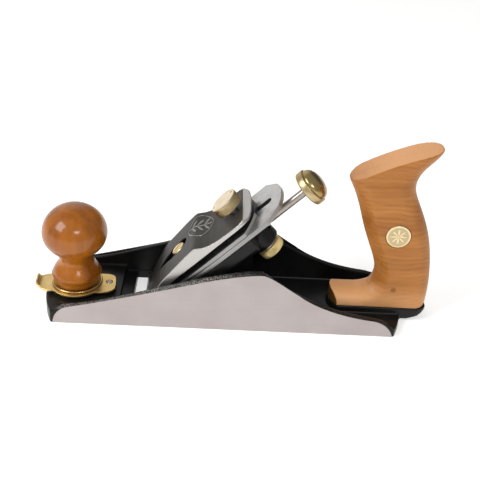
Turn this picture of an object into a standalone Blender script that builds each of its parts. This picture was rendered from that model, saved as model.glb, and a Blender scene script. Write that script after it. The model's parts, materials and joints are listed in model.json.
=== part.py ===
"""A smoothing plane with a 2 inch iron: every piece of the real tool as its own object.

+X runs from the toe to the heel, +Y across the sole and +Z up.  The origin lies on the sole, on the centre line,
55.5 mm behind the iron's edge.  The iron, cap iron, lever cap and adjuster are placed in bed coordinates: u up
along the top face of the iron from the sole, y across, and h square to that face, upwards.
"""
import math

import bmesh
import bpy
from mathutils import Matrix, Vector

MM = 0.001
GAP = 0.3 * MM                      # clearance between pieces that touch

# Sole and cheeks
TOE_X = -123.6 * MM
HEEL_X = 126.0 * MM
HALF_WIDTH = 32.75 * MM
TOE_SAG = 7.6 * MM                  # how far the toe's edge bows forward at the centre line
HEEL_SAG = 7.6 * MM
CHEEK = 4.75 * MM
INNER = HALF_WIDTH - CHEEK
FLOOR_Z = 4.8 * MM
DECK_Z = 9.6 * MM                   # top of the deck that carries the knob and the lever
DECK_UNDER_Z = 6.8 * MM
DECK_END_X = -71.0 * MM
TOE_SHOULDER_X = -105.6 * MM        # where the cheek starts to rise
TOE_SHOULDER_Z = 13.2 * MM
CREST_X = 20.3 * MM                 # highest point of the cheek
CREST_Z = 46.4 * MM
TAIL_X = 104.0 * MM                 # where the cheek has come down to its low tail
TAIL_Z = 12.5 * MM

# Iron and frog
BED_ANGLE = math.radians(45.0)
EDGE_X = -55.5 * MM                 # where the iron's top face would meet the sole
IRON_WIDTH = 50.8 * MM
IRON_THICK = 3.1 * MM
IRON_LENGTH = 129.4 * MM
BEVEL_ANGLE = math.radians(30.0)
BED_H = -IRON_THICK - GAP           # the frog's seat
FROG_END_U = 99.0 * MM
FROG_HALF = 25.0 * MM
FROG_UNDER_H = -12.0 * MM
SPINE_HALF = 15.0 * MM
SPINE_UNDER_H = -18.6 * MM
CAP_IRON_THICK = 2.6 * MM
CAP_IRON_SCREW_U = 70.0 * MM

# Mouth
MOUTH_HALF = 27.3 * MM
SHOE_FRONT_X = -112.0 * MM
SHOE_REAR_X = -62.6 * MM
SHOE_TOP_Z = 6.2 * MM
POCKET_FRONT_X = -114.5 * MM

# Knob, lever and stud
KNOB_X = -102.5 * MM
STUD_R = 4.0 * MM
LEVER_PIN_X = -80.0 * MM
LEVER_PIN_R = 2.0 * MM
LEVER_LOW_Z = 11.6 * MM
LEVER_THICK = 1.7 * MM
LEVER_HUB_R = 18.4 * MM
LEVER_REST = math.radians(4.0)      # how far the lever already stands towards the near cheek
LEVER_RANGE = (math.radians(-4.0), math.radians(20.0))
SHOE_PER_RADIAN = 16.5 * MM         # travel of the shoe for each radian of the lever
SHOE_TRAVEL = (SHOE_PER_RADIAN * LEVER_RANGE[0], SHOE_PER_RADIAN * LEVER_RANGE[1])
KNOB_BASE_Z = 15.2 * MM

# Lever cap
CAP_HALF = 24.8 * MM
CAP_SCREW_U = 47.5 * MM
LOCK_KNOB_U = 95.9 * MM
CAP_SEAT_H = 11.0 * MM              # seat of the screw's head, sunk in the keyhole
CAP_UNDER_H = 7.2 * MM              # the cap stands clear of the cap iron between its nose and its screw
CAP_TIP_H = 7.7 * MM                # floor of the keyhole's pointed end, on the sloping nose
CAP_RELEASE = 7.0 * MM              # slide that brings the screw's head to the wide end of the keyhole

# Adjuster
ROD_H = -10.8 * MM
ROD_R = 2.8 * MM
ROD_WAY = 4.4 * MM                  # half width of the notch that lets the rod swing
PIVOT_U = 96.0 * MM
BOSS_R = 10.8 * MM
BOSS_UNDER_H = -23.0 * MM
BARREL_R = 7.0 * MM
PIVOT_STUD_R = 4.0 * MM

# Tote
TOTE_HALF = 12.4 * MM
TOTE_BASE_Z = 9.9 * MM
PEDESTAL_Z = 9.6 * MM
MEDALLION_X = 115.7 * MM
MEDALLION_Z = 67.6 * MM
MEDALLION_R = 8.4 * MM
BOLT_FOOT_X = 118.0 * MM            # where the long bolt passes the sole's floor
BOLT_FOOT_Z = 5.0 * MM
TOTE_BOLT_LEAN = math.atan2(MEDALLION_X - BOLT_FOOT_X, MEDALLION_Z - BOLT_FOOT_Z)
TOE_SCREW_X = 90.0 * MM


# ---------------------------------------------------------------- helpers

def clear_scene():
    for obj in list(bpy.data.objects):
        bpy.data.objects.remove(obj, do_unlink=True)


def make_material(name, colour, roughness, metallic):
    material = bpy.data.materials.new(name)
    material.use_nodes = True
    shader = material.node_tree.nodes["Principled BSDF"]
    shader.inputs["Base Color"].default_value = (*colour, 1.0)
    shader.inputs["Roughness"].default_value = roughness
    shader.inputs["Metallic"].default_value = metallic
    return material


def make_empty(name, location, pitch=0.0):
    empty = bpy.data.objects.new(name, None)
    empty.location = location
    empty.rotation_euler = (0.0, pitch, 0.0)
    bpy.context.scene.collection.objects.link(empty)
    return empty


def make_object(name, mesh, material=None, parent=None, location=(0, 0, 0), rotation=(0, 0, 0)):
    """Link a mesh (a bmesh is finished first) as one named piece."""
    if isinstance(mesh, bmesh.types.BMesh):
        bmesh.ops.recalc_face_normals(mesh, faces=mesh.faces[:])
        data = bpy.data.meshes.new(name)
        mesh.to_mesh(data)
        mesh.free()
        mesh = data
    obj = bpy.data.objects.new(name, mesh)
    if material:
        mesh.materials.append(material)
    obj.parent = parent
    obj.location = location
    obj.rotation_euler = rotation
    bpy.context.scene.collection.objects.link(obj)
    return obj


def smooth(obj, angle=35.0):
    obj.data.shade_smooth()
    obj.data.set_sharp_from_angle(angle=math.radians(angle))


def combine(target, others, operation):
    """Cut or add the other objects, keep the result as the target's own mesh and drop the others."""
    for other in others:
        modifier = target.modifiers.new(operation.lower(), "BOOLEAN")
        modifier.object = other
        modifier.operation = operation
        modifier.solver = "EXACT"
        other.hide_render = True
        other.display_type = "WIRE"
    bpy.context.view_layer.update()
    graph = bpy.context.evaluated_depsgraph_get()
    mesh = bpy.data.meshes.new_from_object(target.evaluated_get(graph))
    target.modifiers.clear()
    target.data = mesh
    for other in others:
        bpy.data.objects.remove(other, do_unlink=True)
    return target


def cut(target, *cutters):
    return combine(target, cutters, "DIFFERENCE")


def add(target, *others):
    return combine(target, others, "UNION")


def prism(outline, low, high, axis="Y"):
    """Extrude a closed outline between two levels of one axis; the outline holds the other two, in order."""
    shape = bmesh.new()
    order = {"X": (2, 0, 1), "Y": (0, 2, 1), "Z": (0, 1, 2)}[axis]

    def corner(a, b, level):
        values = (a, b, level)
        return shape.verts.new([values[i] for i in order])

    bottom = [corner(a, b, low) for a, b in outline]
    top = [corner(a, b, high) for a, b in outline]
    shape.faces.new(bottom)
    shape.faces.new(top)
    for i in range(len(outline)):
        j = (i + 1) % len(outline)
        shape.faces.new((bottom[i], bottom[j], top[j], top[i]))
    return shape


def box(low, high):
    (x0, y0, z0), (x1, y1, z1) = low, high
    return prism([(x0, z0), (x1, z0), (x1, z1), (x0, z1)], y0, y1)


def turned(profile, segments=32, bore=False):
    """Spin a profile of (radius, height) about Z.  A solid starts and ends on the axis; a bored one is a loop."""
    shape = bmesh.new()
    points = [shape.verts.new((radius, 0.0, height)) for radius, height in profile]
    edges = [shape.edges.new(pair) for pair in zip(points, points[1:])]
    if bore:
        edges.append(shape.edges.new((points[-1], points[0])))
    bmesh.ops.spin(shape, geom=points + edges, cent=(0, 0, 0), axis=(0, 0, 1),
                   angle=math.tau, steps=segments, use_merge=True)
    bmesh.ops.remove_doubles(shape, verts=shape.verts[:], dist=0.001 * MM)
    return shape


def disc(radius, low, high, chamfer=0.0, segments=32):
    return turned([(0, low), (radius - chamfer, low), (radius, low + chamfer),
                   (radius, high - chamfer), (radius - chamfer, high), (0, high)] if chamfer else
                  [(0, low), (radius, low), (radius, high), (0, high)], segments)


def ring(inner, outer, low, high, chamfer=0.0, segments=32):
    if chamfer:
        profile = [(inner, low), (outer - chamfer, low), (outer, low + chamfer),
                   (outer, high - chamfer), (outer - chamfer, high), (inner, high)]
    else:
        profile = [(inner, low), (outer, low), (outer, high), (inner, high)]
    return turned(profile, segments, bore=True)


def bezier(start, handle_a, handle_b, end, steps):
    """Points along a cubic curve, without its last point, so that stretches join end to start."""
    curve = []
    for i in range(steps):
        t = i / steps
        s = 1.0 - t
        curve.append(tuple(s ** 3 * a + 3 * s * s * t * b + 3 * s * t * t * c + t ** 3 * d
                           for a, b, c, d in zip(start, handle_a, handle_b, end)))
    return curve


def arc(centre, radius, start, end, steps, include_end=True):
    """Points on a circle; angles in degrees, counter-clockwise when end is larger."""
    count = steps + 1 if include_end else steps
    return [(centre[0] + radius * math.cos(math.radians(start + (end - start) * i / steps)),
             centre[1] + radius * math.sin(math.radians(start + (end - start) * i / steps)))
            for i in range(count)]


def in_mm(points):
    return [(a * MM, b * MM) for a, b in points]


def slot_outline(path, half_width, steps=8):
    """Outline of a slot that a round pin of that half width leaves along a path of points."""
    sides = []
    for points in (path, path[::-1]):
        for i, point in enumerate(points):
            ahead = points[min(i + 1, len(points) - 1)]
            behind = points[max(i - 1, 0)]
            direction = Vector((ahead[0] - behind[0], ahead[1] - behind[1])).normalized()
            sides.append((point[0] + direction.y * half_width, point[1] - direction.x * half_width))
        end = points[-1]
        heading = math.degrees(math.atan2(direction.y, direction.x))
        sides += arc(end, half_width, heading - 90, heading + 90, steps)[1:-1]
    return sides


def bow(half_width, sag, apex, sign, steps=12):
    """Plan points of a bowed end from -y to +y; sign is -1 for the toe and +1 for the heel."""
    radius = (half_width ** 2 + sag ** 2) / (2 * sag)
    spread = math.asin(half_width / radius)
    points = []
    for i in range(steps + 1):
        angle = -spread + 2 * spread * i / steps
        points.append((apex - sign * radius * (1 - math.cos(angle)), radius * math.sin(angle)))
    return points


# ---------------------------------------------------------------- body

def cheek_profile():
    """Side view of the body's outside, from the toe along the top of the cheek to the heel."""
    deck = DECK_Z / MM
    floor = FLOOR_Z / MM
    shoulder = (TOE_SHOULDER_X / MM, TOE_SHOULDER_Z / MM)
    tail = (TAIL_X / MM, TAIL_Z / MM)
    top = [(-126, deck), (-112.5, deck)]
    top += bezier((-111.5, deck + 0.2), (-109.5, 12.2), (-108.5, 12.9), shoulder, 3)
    top += bezier(shoulder, (-65, 17), (-28, 38.5), (CREST_X / MM, CREST_Z / MM), 14)
    top += arc((23.2, 38.9), 7.5, 100, 47, 4, include_end=False)
    top += bezier((28.5, 44.4), (50, 27), (75, 16), tail, 10)
    top += bezier(tail, (111, 11.6), (115.5, 9.0), (118.5, floor), 4)
    top += [(118.5, floor), (127, floor)]
    return in_mm(top)


def sole_outline():
    return (bow(HALF_WIDTH, TOE_SAG, TOE_X, -1)
            + bow(HALF_WIDTH, HEEL_SAG, HEEL_X, +1)[::-1])


def pedestal_outline():
    """Plan of the raised pad under the tote: a bowed nose and a rounded tail that overhangs the heel."""
    nose = bow(12.5 * MM, 3.2 * MM, 75.0 * MM, -1, 8)
    tail = in_mm(arc((135.6, 4.5), 8.0, 90, 0, 4) + arc((135.6, -4.5), 8.0, 0, -90, 4))
    return nose + tail


def stud_slot(low, high):
    """The slot in which the shoe's stud travels, through the deck and the washer on it."""
    path = [(KNOB_X + SHOE_TRAVEL[0] - 0.4 * MM, 0), (KNOB_X + SHOE_TRAVEL[1] + 0.4 * MM, 0)]
    return prism(slot_outline(path, STUD_R + GAP), low, high, "Z")


def build_body(iron_black, bed_frame):
    body = make_object("body_casting", prism(cheek_profile() + [(127 * MM, 0), (-126 * MM, 0)],
                                             -HALF_WIDTH, HALF_WIDTH), iron_black)
    plan = make_object("plan", prism(sole_outline(), -1 * MM, 60 * MM, "Z"))
    combine(body, [plan], "INTERSECT")

    front, rear, above = -130 * MM, 130 * MM, 60 * MM
    trough_floor = [(front, DECK_Z), (DECK_END_X, DECK_Z), (DECK_END_X, FLOOR_Z), (rear, FLOOR_Z),
                    (rear, above), (front, above)]
    trough = make_object("trough", prism(trough_floor, -INNER, INNER))
    pocket = make_object("pocket", box((POCKET_FRONT_X, -MOUTH_HALF, -1 * MM),
                                       (DECK_END_X - 1 * MM, MOUTH_HALF, DECK_UNDER_Z)))
    mouth = make_object("mouth", box((DECK_END_X - 2 * MM, -MOUTH_HALF, -1 * MM),
                                     (-44 * MM, MOUTH_HALF, 7 * MM)))
    cut(body, trough, pocket, mouth)

    sole_u = -BED_H                                  # where the seat's plane reaches the sole
    slab = [(sole_u, BED_H), (FROG_END_U, BED_H), (FROG_END_U, FROG_UNDER_H), (-FROG_UNDER_H, FROG_UNDER_H)]
    frog = make_object("frog", prism(slab, -FROG_HALF, FROG_HALF), parent=bed_frame)
    heel_of_mouth = in_mm([(-50.7, 0.0), (-40.0, 0.0), (-40.0, 5.4), (-45.3, 5.4)])
    foot = make_object("foot", prism(heel_of_mouth, -MOUTH_HALF - GAP, MOUTH_HALF + GAP))
    under = SPINE_UNDER_H / MM
    spine = make_object("spine", prism(in_mm([(13, -8), (95, -8), (95, under), (19.2, under), (15.5, -15)]),
                                       -SPINE_HALF, SPINE_HALF), parent=bed_frame)
    boss = make_object("boss", disc(BOSS_R, BOSS_UNDER_H, -4.0 * MM, 0.8 * MM, 40), parent=bed_frame,
                       location=(PIVOT_U, 0, 0))
    web = make_object("web", prism(in_mm([(-26, 2), (14, 2), (20, 30), (20, 43), (10, 38)]), -4 * MM, 4 * MM))
    add(body, foot, frog, spine, boss, web)

    side = in_mm([(70, 3), (70, PEDESTAL_Z / MM), (148, PEDESTAL_Z / MM), (143.2, 7.6),
                  (136.5, 3.2), (130.0, 1.0), (124, 1.0)])
    pedestal = make_object("pedestal", prism(side, -20 * MM, 20 * MM))
    pedestal_plan = make_object("pedestal_plan", prism(pedestal_outline(), -1 * MM, 20 * MM, "Z"))
    combine(pedestal, [pedestal_plan], "INTERSECT")
    add(body, pedestal)

    channel = make_object("channel", box((57 * MM, -11.8 * MM, -16.0 * MM), (89.4 * MM, 11.8 * MM, 2 * MM)),
                          parent=bed_frame)
    boss_bore = make_object("boss_bore", disc(BARREL_R + 0.4 * MM, BOSS_UNDER_H + 2.5 * MM, 2 * MM, segments=36),
                            parent=bed_frame, location=(PIVOT_U, 0, 0))
    stud_hole = make_object("stud_hole", disc(PIVOT_STUD_R + 0.4 * MM, -30 * MM, -18 * MM), parent=bed_frame,
                            location=(PIVOT_U, 0, 0))
    rod_way = make_object("rod_way", box((FROG_END_U, -ROD_WAY, ROD_H - ROD_WAY),
                                         (115 * MM, ROD_WAY, ROD_H + ROD_WAY)), parent=bed_frame)
    screw_hole = make_object("screw_hole", disc(3.3 * MM, -15 * MM, 2 * MM, segments=24), parent=bed_frame,
                             location=(CAP_SCREW_U, 0, 0))
    cut(body, channel, boss_bore, stud_hole, rod_way, screw_hole)

    stud_way = make_object("stud_way", stud_slot(5 * MM, 10 * MM))
    pin_hole = make_object("pin_hole", disc(LEVER_PIN_R + GAP, 5 * MM, 10 * MM, segments=20),
                           location=(LEVER_PIN_X, 0, 0))
    bolt_hole = make_object("bolt_hole", disc(3.4 * MM, -12 * MM, 12 * MM, segments=24),
                            location=(BOLT_FOOT_X, 0, BOLT_FOOT_Z), rotation=(0, TOTE_BOLT_LEAN, 0))
    bolt_seat = make_object("bolt_seat", disc(6.6 * MM, -12 * MM, 0.2 * MM, segments=28),
                            location=(BOLT_FOOT_X, 0, BOLT_FOOT_Z), rotation=(0, TOTE_BOLT_LEAN, 0))
    toe_hole = make_object("toe_hole", disc(2.9 * MM, -1 * MM, 12 * MM, segments=24),
                           location=(TOE_SCREW_X, 0, 0))
    toe_seat = make_object("toe_seat", disc(5.4 * MM, -1 * MM, 4.6 * MM, segments=28),
                           location=(TOE_SCREW_X, 0, 0))
    cut(body, stud_way, pin_hole, bolt_hole, bolt_seat, toe_hole, toe_seat)
    smooth(body)
    return body


# ---------------------------------------------------------------- toe: shoe, knob and lever

def build_shoe(steel):
    shoe = make_object("mouth_shoe", box((SHOE_FRONT_X, -MOUTH_HALF + 0.4 * MM, 0),
                                         (SHOE_REAR_X, MOUTH_HALF - 0.4 * MM, SHOE_TOP_Z)), steel)
    stud_hole = make_object("shoe_hole", disc(STUD_R + GAP, 1.2 * MM, 8 * MM), location=(KNOB_X, 0, 0))
    cut(shoe, stud_hole)
    smooth(shoe)


def knob_profile():
    """The turned knob from its base to the crown: a bead, a neck and a slightly flattened ball."""
    ball_r = 22.3
    crown_height = 20.4                 # from the ball's widest circle up to its top
    under_height = 18.0                 # the ball's lower half is flatter
    ball_z = 53.0
    neck_angle = -46.0
    start = (ball_r * math.cos(math.radians(neck_angle)),
             ball_z + under_height * math.sin(math.radians(neck_angle)))
    profile = [(16.2, 15.2), (17.1, 21.6), (16.8, 23.2)]
    profile += bezier((15.6, 25.2), (12.6, 28.4), (10.0, 34.4), start, 8)
    for i in range(15):
        angle = math.radians(neck_angle + (90.0 - neck_angle) * i / 14)
        height = crown_height if angle > 0 else under_height
        profile.append((ball_r * math.cos(angle), ball_z + height * math.sin(angle)))
    profile[-1] = (0.0, ball_z + crown_height)
    return in_mm(profile)


def build_knob(cherry, brass, steel):
    """The knob turns on its stud; the stud stands in the shoe."""
    knob_axis = make_empty("knob_axis", (KNOB_X, 0, 0))
    outside = knob_profile()
    bore_r = 6.8 * MM
    bore_top = 46.0 * MM
    profile = [(0.0, bore_top), (bore_r, bore_top), (bore_r, KNOB_BASE_Z)] + outside
    knob = make_object("front_knob", turned(profile, 36), cherry, knob_axis)
    smooth(knob, 50)
    insert = make_object("knob_insert", ring(STUD_R + GAP, bore_r - GAP, KNOB_BASE_Z + GAP, 40 * MM), brass,
                         knob_axis)
    smooth(insert)
    ferrule = make_object("knob_ferrule", ring(STUD_R + GAP, 17.7 * MM, LEVER_LOW_Z + LEVER_THICK + GAP,
                                               KNOB_BASE_Z - GAP, 0.4 * MM, 36), brass, knob_axis)
    smooth(ferrule)
    stud = make_object("knob_stud", disc(STUD_R, 1.6 * MM, 44 * MM, 0.6 * MM, 24), steel, knob_axis)
    smooth(stud)
    washer = make_object("lever_washer", disc(18.0 * MM, DECK_Z + GAP, LEVER_LOW_Z - GAP, 0.5 * MM, 36), brass,
                         knob_axis)
    cut(washer, make_object("washer_slot", stud_slot(5 * MM, 20 * MM)))
    smooth(washer)


def lever_outline():
    """Plan of the mouth lever about its pin: rear tab round the pin, round hub, thumb tab in front."""
    hub = ((KNOB_X - LEVER_PIN_X) / MM, 0.0)
    hub_r = LEVER_HUB_R / MM
    rear_far, rear_near = 10.4, 13.0
    thumb_half = 10.6
    thumb_end = -48.6
    thumb_angle = math.degrees(math.asin(thumb_half / hub_r))
    rear = [(0.6, -rear_near), (4.4, -8.6), (4.4, 6.6), (0.8, rear_far)]
    far_side = arc(hub, hub_r, math.degrees(math.asin(rear_far / hub_r)), 180 - thumb_angle, 12)
    tab = [(thumb_end + 4.4, thumb_half), (thumb_end + 1.4, 8.4), (thumb_end, 4.6), (thumb_end, -4.6),
           (thumb_end + 1.4, -8.4), (thumb_end + 4.4, -thumb_half)]
    near_side = arc(hub, hub_r, 180 + thumb_angle, 360 - math.degrees(math.asin(rear_near / hub_r)), 12)
    return in_mm(rear + far_side + tab + near_side)


def cam_path():
    """Where the stud runs in the lever's own frame, as the shoe moves in step with the lever."""
    reach = LEVER_PIN_X - KNOB_X
    points = []
    for i in range(9):
        turn = LEVER_RANGE[0] + (LEVER_RANGE[1] - LEVER_RANGE[0]) * i / 8
        radius = reach - SHOE_PER_RADIAN * turn
        angle = math.pi - turn - LEVER_REST
        points.append((radius * math.cos(angle), radius * math.sin(angle)))
    return points


def build_lever(brass, steel):
    lever_axis = make_empty("lever_axis", (LEVER_PIN_X, 0, 0))
    top_z = LEVER_LOW_Z + LEVER_THICK
    lever = make_object("mouth_lever", prism(lever_outline(), LEVER_LOW_Z, top_z, "Z"), brass, lever_axis,
                        rotation=(0, 0, LEVER_REST))
    curl = [(-44.5, 12.2), (-42.0, 12.0), (-42.0, 13.1), (-44.6, 13.4), (-47.0, 14.6), (-48.2, 16.6),
            (-49.6, 16.2), (-49.0, 14.0), (-47.4, 12.6)]
    curl_tab = make_object("curl", prism(in_mm(curl), -8.8 * MM, 8.8 * MM), parent=lever_axis,
                           rotation=(0, 0, LEVER_REST))
    end_trim = make_object("end_trim", box((-56 * MM, -12 * MM, 8 * MM), (-44.4 * MM, 12 * MM, 20 * MM)),
                           parent=lever_axis, rotation=(0, 0, LEVER_REST))
    cut(lever, end_trim)
    add(lever, curl_tab)
    cam = make_object("cam", prism(slot_outline(cam_path(), STUD_R + GAP + 0.05 * MM), 8 * MM, 20 * MM, "Z"),
                      parent=lever_axis, rotation=(0, 0, LEVER_REST))
    pin_hole = make_object("lever_hole", disc(LEVER_PIN_R + GAP, 8 * MM, 20 * MM, segments=20), parent=lever_axis)
    cut(lever, cam, pin_hole)
    smooth(lever)
    pin = make_object("lever_pivot_pin", disc(LEVER_PIN_R, DECK_UNDER_Z + 0.4 * MM, top_z, 0.2 * MM, 20),
                      steel, lever_axis)
    smooth(pin)


# ---------------------------------------------------------------- iron, cap iron and lever cap

def bowed_plate(half_width, start_u, shoulder_u, end_u, clip=0.0):
    """Plan (u, y) of a plate with a bowed upper end and, if wanted, clipped corners before the bow."""
    inner = half_width - clip
    sag = end_u - shoulder_u - clip
    points = [(start_u, -half_width), (shoulder_u, -half_width)]
    points += bow(inner, sag, end_u, +1, 10)
    points += [(shoulder_u, half_width), (start_u, half_width)]
    return points if clip else points[:1] + points[2:-2] + points[-1:]


def build_iron(steel, brass, bed_frame):
    swing_axis = make_empty("iron_axis", (CAP_IRON_SCREW_U, 0, 0))
    swing_axis.parent = bed_frame
    back = CAP_IRON_SCREW_U

    half = IRON_WIDTH / 2
    plan = bowed_plate(half, 0, 116.5 * MM, IRON_LENGTH, 9.6 * MM)
    iron = make_object("iron", prism([(u - back, y) for u, y in plan], -IRON_THICK, 0, "Z"), steel, swing_axis)
    bevel_run = IRON_THICK / math.tan(BEVEL_ANGLE)
    edge_u = 0.35 * MM
    bevel = [(edge_u - back - 1 * MM, 1 * MM * math.tan(BEVEL_ANGLE)), (edge_u + bevel_run + 1 * MM - back,
             -IRON_THICK - 1 * MM * math.tan(BEVEL_ANGLE)), (-5 * MM - back, -IRON_THICK - 1 * MM),
             (-5 * MM - back, 1 * MM)]
    bevel_cutter = make_object("bevel", prism(bevel, -30 * MM, 30 * MM), parent=swing_axis)
    narrow = make_object("narrow", prism(slot_outline([(80 * MM - back, 0), (117.9 * MM - back, 0)], 2.8 * MM),
                                         -6 * MM, 6 * MM, "Z"), parent=swing_axis)
    wide = make_object("wide", prism(slot_outline([(40 * MM - back, 0), (92 * MM - back, 0)], 5.5 * MM),
                                     -6 * MM, 6 * MM, "Z"), parent=swing_axis)
    cut(iron, bevel_cutter, narrow, wide)
    smooth(iron)

    low = GAP
    high = GAP + CAP_IRON_THICK
    plan = bowed_plate(half - 0.1 * MM, 1.6 * MM, 99 * MM, 109 * MM)
    cap_iron = make_object("cap_iron", prism([(u - back, y) for u, y in plan], low, high, "Z"), steel, swing_axis)
    nose = [(1.0 * MM - back, low + 0.5 * MM), (7.0 * MM - back, high + 0.05 * MM),
            (7.0 * MM - back, 6 * MM), (1.0 * MM - back, 6 * MM)]
    nose_cutter = make_object("nose", prism(nose, -30 * MM, 30 * MM), parent=swing_axis)
    screw_hole = make_object("cap_hole", disc(4.0 * MM + GAP, -1 * MM, 6 * MM, segments=24), parent=swing_axis)
    shank_slot = make_object("shank_slot", prism(slot_outline([(40 * MM - back, 0), (52 * MM - back, 0)],
                                                              4.4 * MM), -2 * MM, 6 * MM, "Z"), parent=swing_axis)
    cut(cap_iron, nose_cutter, screw_hole, shank_slot)
    smooth(cap_iron)

    head_low = BED_H - 3.0 * MM
    profile = [(0, head_low), (7.0 * MM, head_low), (7.4 * MM, head_low + 0.4 * MM), (7.4 * MM, BED_H),
               (4.0 * MM, BED_H), (4.0 * MM, high), (0, high)]
    screw = make_object("cap_iron_screw", turned(profile, 28), brass, swing_axis)
    slot = make_object("driver_slot", box((-9 * MM, -0.7 * MM, head_low - 1 * MM),
                                          (9 * MM, 0.7 * MM, head_low + 1.3 * MM)), parent=swing_axis)
    cut(screw, slot)
    smooth(screw)


def cap_side_profile():
    """Side view of the lever cap in bed coordinates: nose, hump above the screw, thin upper plate."""
    top = bezier((8.4, 3.4), (9.0, 4.4), (17, 7.4), (28.3, 11.4), 5)
    top += bezier((28.3, 11.4), (36, 13.2), (50, 14.4), (65.0, 16.2), 4)
    top += bezier((65.9, 16.0), (72, 11.8), (80, 10.0), (90, 9.9), 5)
    top += [(90, 9.9), (103.8, 9.9), (108.7, 6.5), (108.5, 6.0)]
    plate = CAP_UNDER_H / MM
    under = [(104.5, plate - 0.3), (97, plate), (40, plate), (28, 6.2), (15, 3.6), (9, 3.2)]
    return in_mm(top + under)


def keyhole_side(width, shares):
    """One side (u, y) of the cap's keyhole, from its pointed lower end; width is its half width."""
    tip, centre = 22.5, 50.5
    return [(tip + (centre - tip) * t, width * math.sin(math.pi / 2 * t ** 0.9)) for t in shares]


def teardrop(width):
    """The whole keyhole: pointed below, widest and round above."""
    side = keyhole_side(width, (0.0, 0.12, 0.3, 0.5, 0.7, 0.87))
    upper = arc((50.5, 0.0), width, 90, -90, 10)
    return in_mm(side + upper + [(u, -y) for u, y in side[:0:-1]])


def teardrop_tip(width):
    """Its pointed half, which is cut deeper because the cap slopes down there."""
    side = keyhole_side(width, (0.0, 0.12, 0.3, 0.5))
    return in_mm(side + [(u, -y) for u, y in side[:0:-1]])


def build_lever_cap(cast, brass, steel, bed_frame):
    cap = make_object("lever_cap", prism(cap_side_profile(), -CAP_HALF, CAP_HALF), cast, bed_frame)
    half = CAP_HALF / MM
    side = bezier((96, half), (102, half), (106.2, 23.6), (107.4, 18.0), 4)
    plan = in_mm([(0, half)] + side + [(107.4, 18.0), (108.6, 8.0)])
    plan += [(u, -y) for u, y in plan[::-1]]
    trim = make_object("cap_plan", prism(plan, -5 * MM, 30 * MM, "Z"), parent=bed_frame)
    combine(cap, [trim], "INTERSECT")
    recess = make_object("recess", prism(teardrop(6.0), CAP_SEAT_H, 30 * MM, "Z"), parent=bed_frame)
    tip = make_object("tip", prism(teardrop_tip(5.9), CAP_TIP_H, 28 * MM, "Z"), parent=bed_frame)
    wide_u = CAP_SCREW_U - CAP_RELEASE
    keyhole = make_object("keyhole", prism(slot_outline([(wide_u, 0), (CAP_SCREW_U + 0.6 * MM, 0)], 3.6 * MM),
                                           -5 * MM, 30 * MM, "Z"), parent=bed_frame)
    entry = make_object("entry", disc(5.6 * MM, -5 * MM, 30 * MM, segments=28), parent=bed_frame,
                        location=(wide_u, 0, 0))
    knob_hole = make_object("knob_hole", disc(3.4 * MM, -5 * MM, 30 * MM, segments=24), parent=bed_frame,
                            location=(LOCK_KNOB_U, 0, 0))
    hollow = in_mm([(33, 0), (63, 0), (63, 12.2), (46, 10.6), (33, 8.8)])
    hollows = [make_object("hollow", prism(hollow, low * MM, high * MM), parent=bed_frame)
               for low, high in ((-21.5, -10.0), (10.0, 21.5))]
    cut(cap, recess, tip, keyhole, entry, knob_hole, *hollows)
    smooth(cap)

    cap_screw_axis = make_empty("cap_screw_axis", (CAP_SCREW_U, 0, 0))
    cap_screw_axis.parent = bed_frame
    head_low = CAP_SEAT_H + GAP
    profile = [(0, -13.5 * MM), (3.0 * MM, -13.5 * MM), (3.0 * MM, head_low), (4.6 * MM, head_low),
               (5.2 * MM, head_low + 0.6 * MM), (5.2 * MM, head_low + 2.6 * MM),
               (4.4 * MM, head_low + 3.2 * MM), (2.4 * MM, head_low + 3.5 * MM), (0, head_low + 3.6 * MM)]
    screw = make_object("lever_cap_screw", turned(profile, 28), brass, cap_screw_axis)
    slot = make_object("head_slot", box((-8 * MM, -0.6 * MM, head_low + 2.2 * MM),
                                        (8 * MM, 0.6 * MM, head_low + 6 * MM)), parent=cap_screw_axis)
    cut(screw, slot)
    smooth(screw)

    lock_axis = make_empty("lock_axis", (LOCK_KNOB_U, 0, 0))
    lock_axis.parent = bed_frame
    profile = in_mm([(0, 19.0), (3.3, 19.0), (3.3, 12.2), (5.0, 12.2), (5.0, 13.3), (9.4, 13.5), (10.2, 14.3),
                     (10.2, 20.2), (9.5, 20.9), (5.0, 21.7), (0, 22.0)])
    knob = make_object("lock_knob", turned(profile, 40), brass, lock_axis)
    smooth(knob)
    profile = in_mm([(0, 3.3), (2.4, 3.3), (3.0, 3.9), (3.0, 18.7), (0, 18.7)])
    screw = make_object("lock_knob_screw", turned(profile, 24), steel, lock_axis)
    smooth(screw)


# ---------------------------------------------------------------- adjuster

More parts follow.
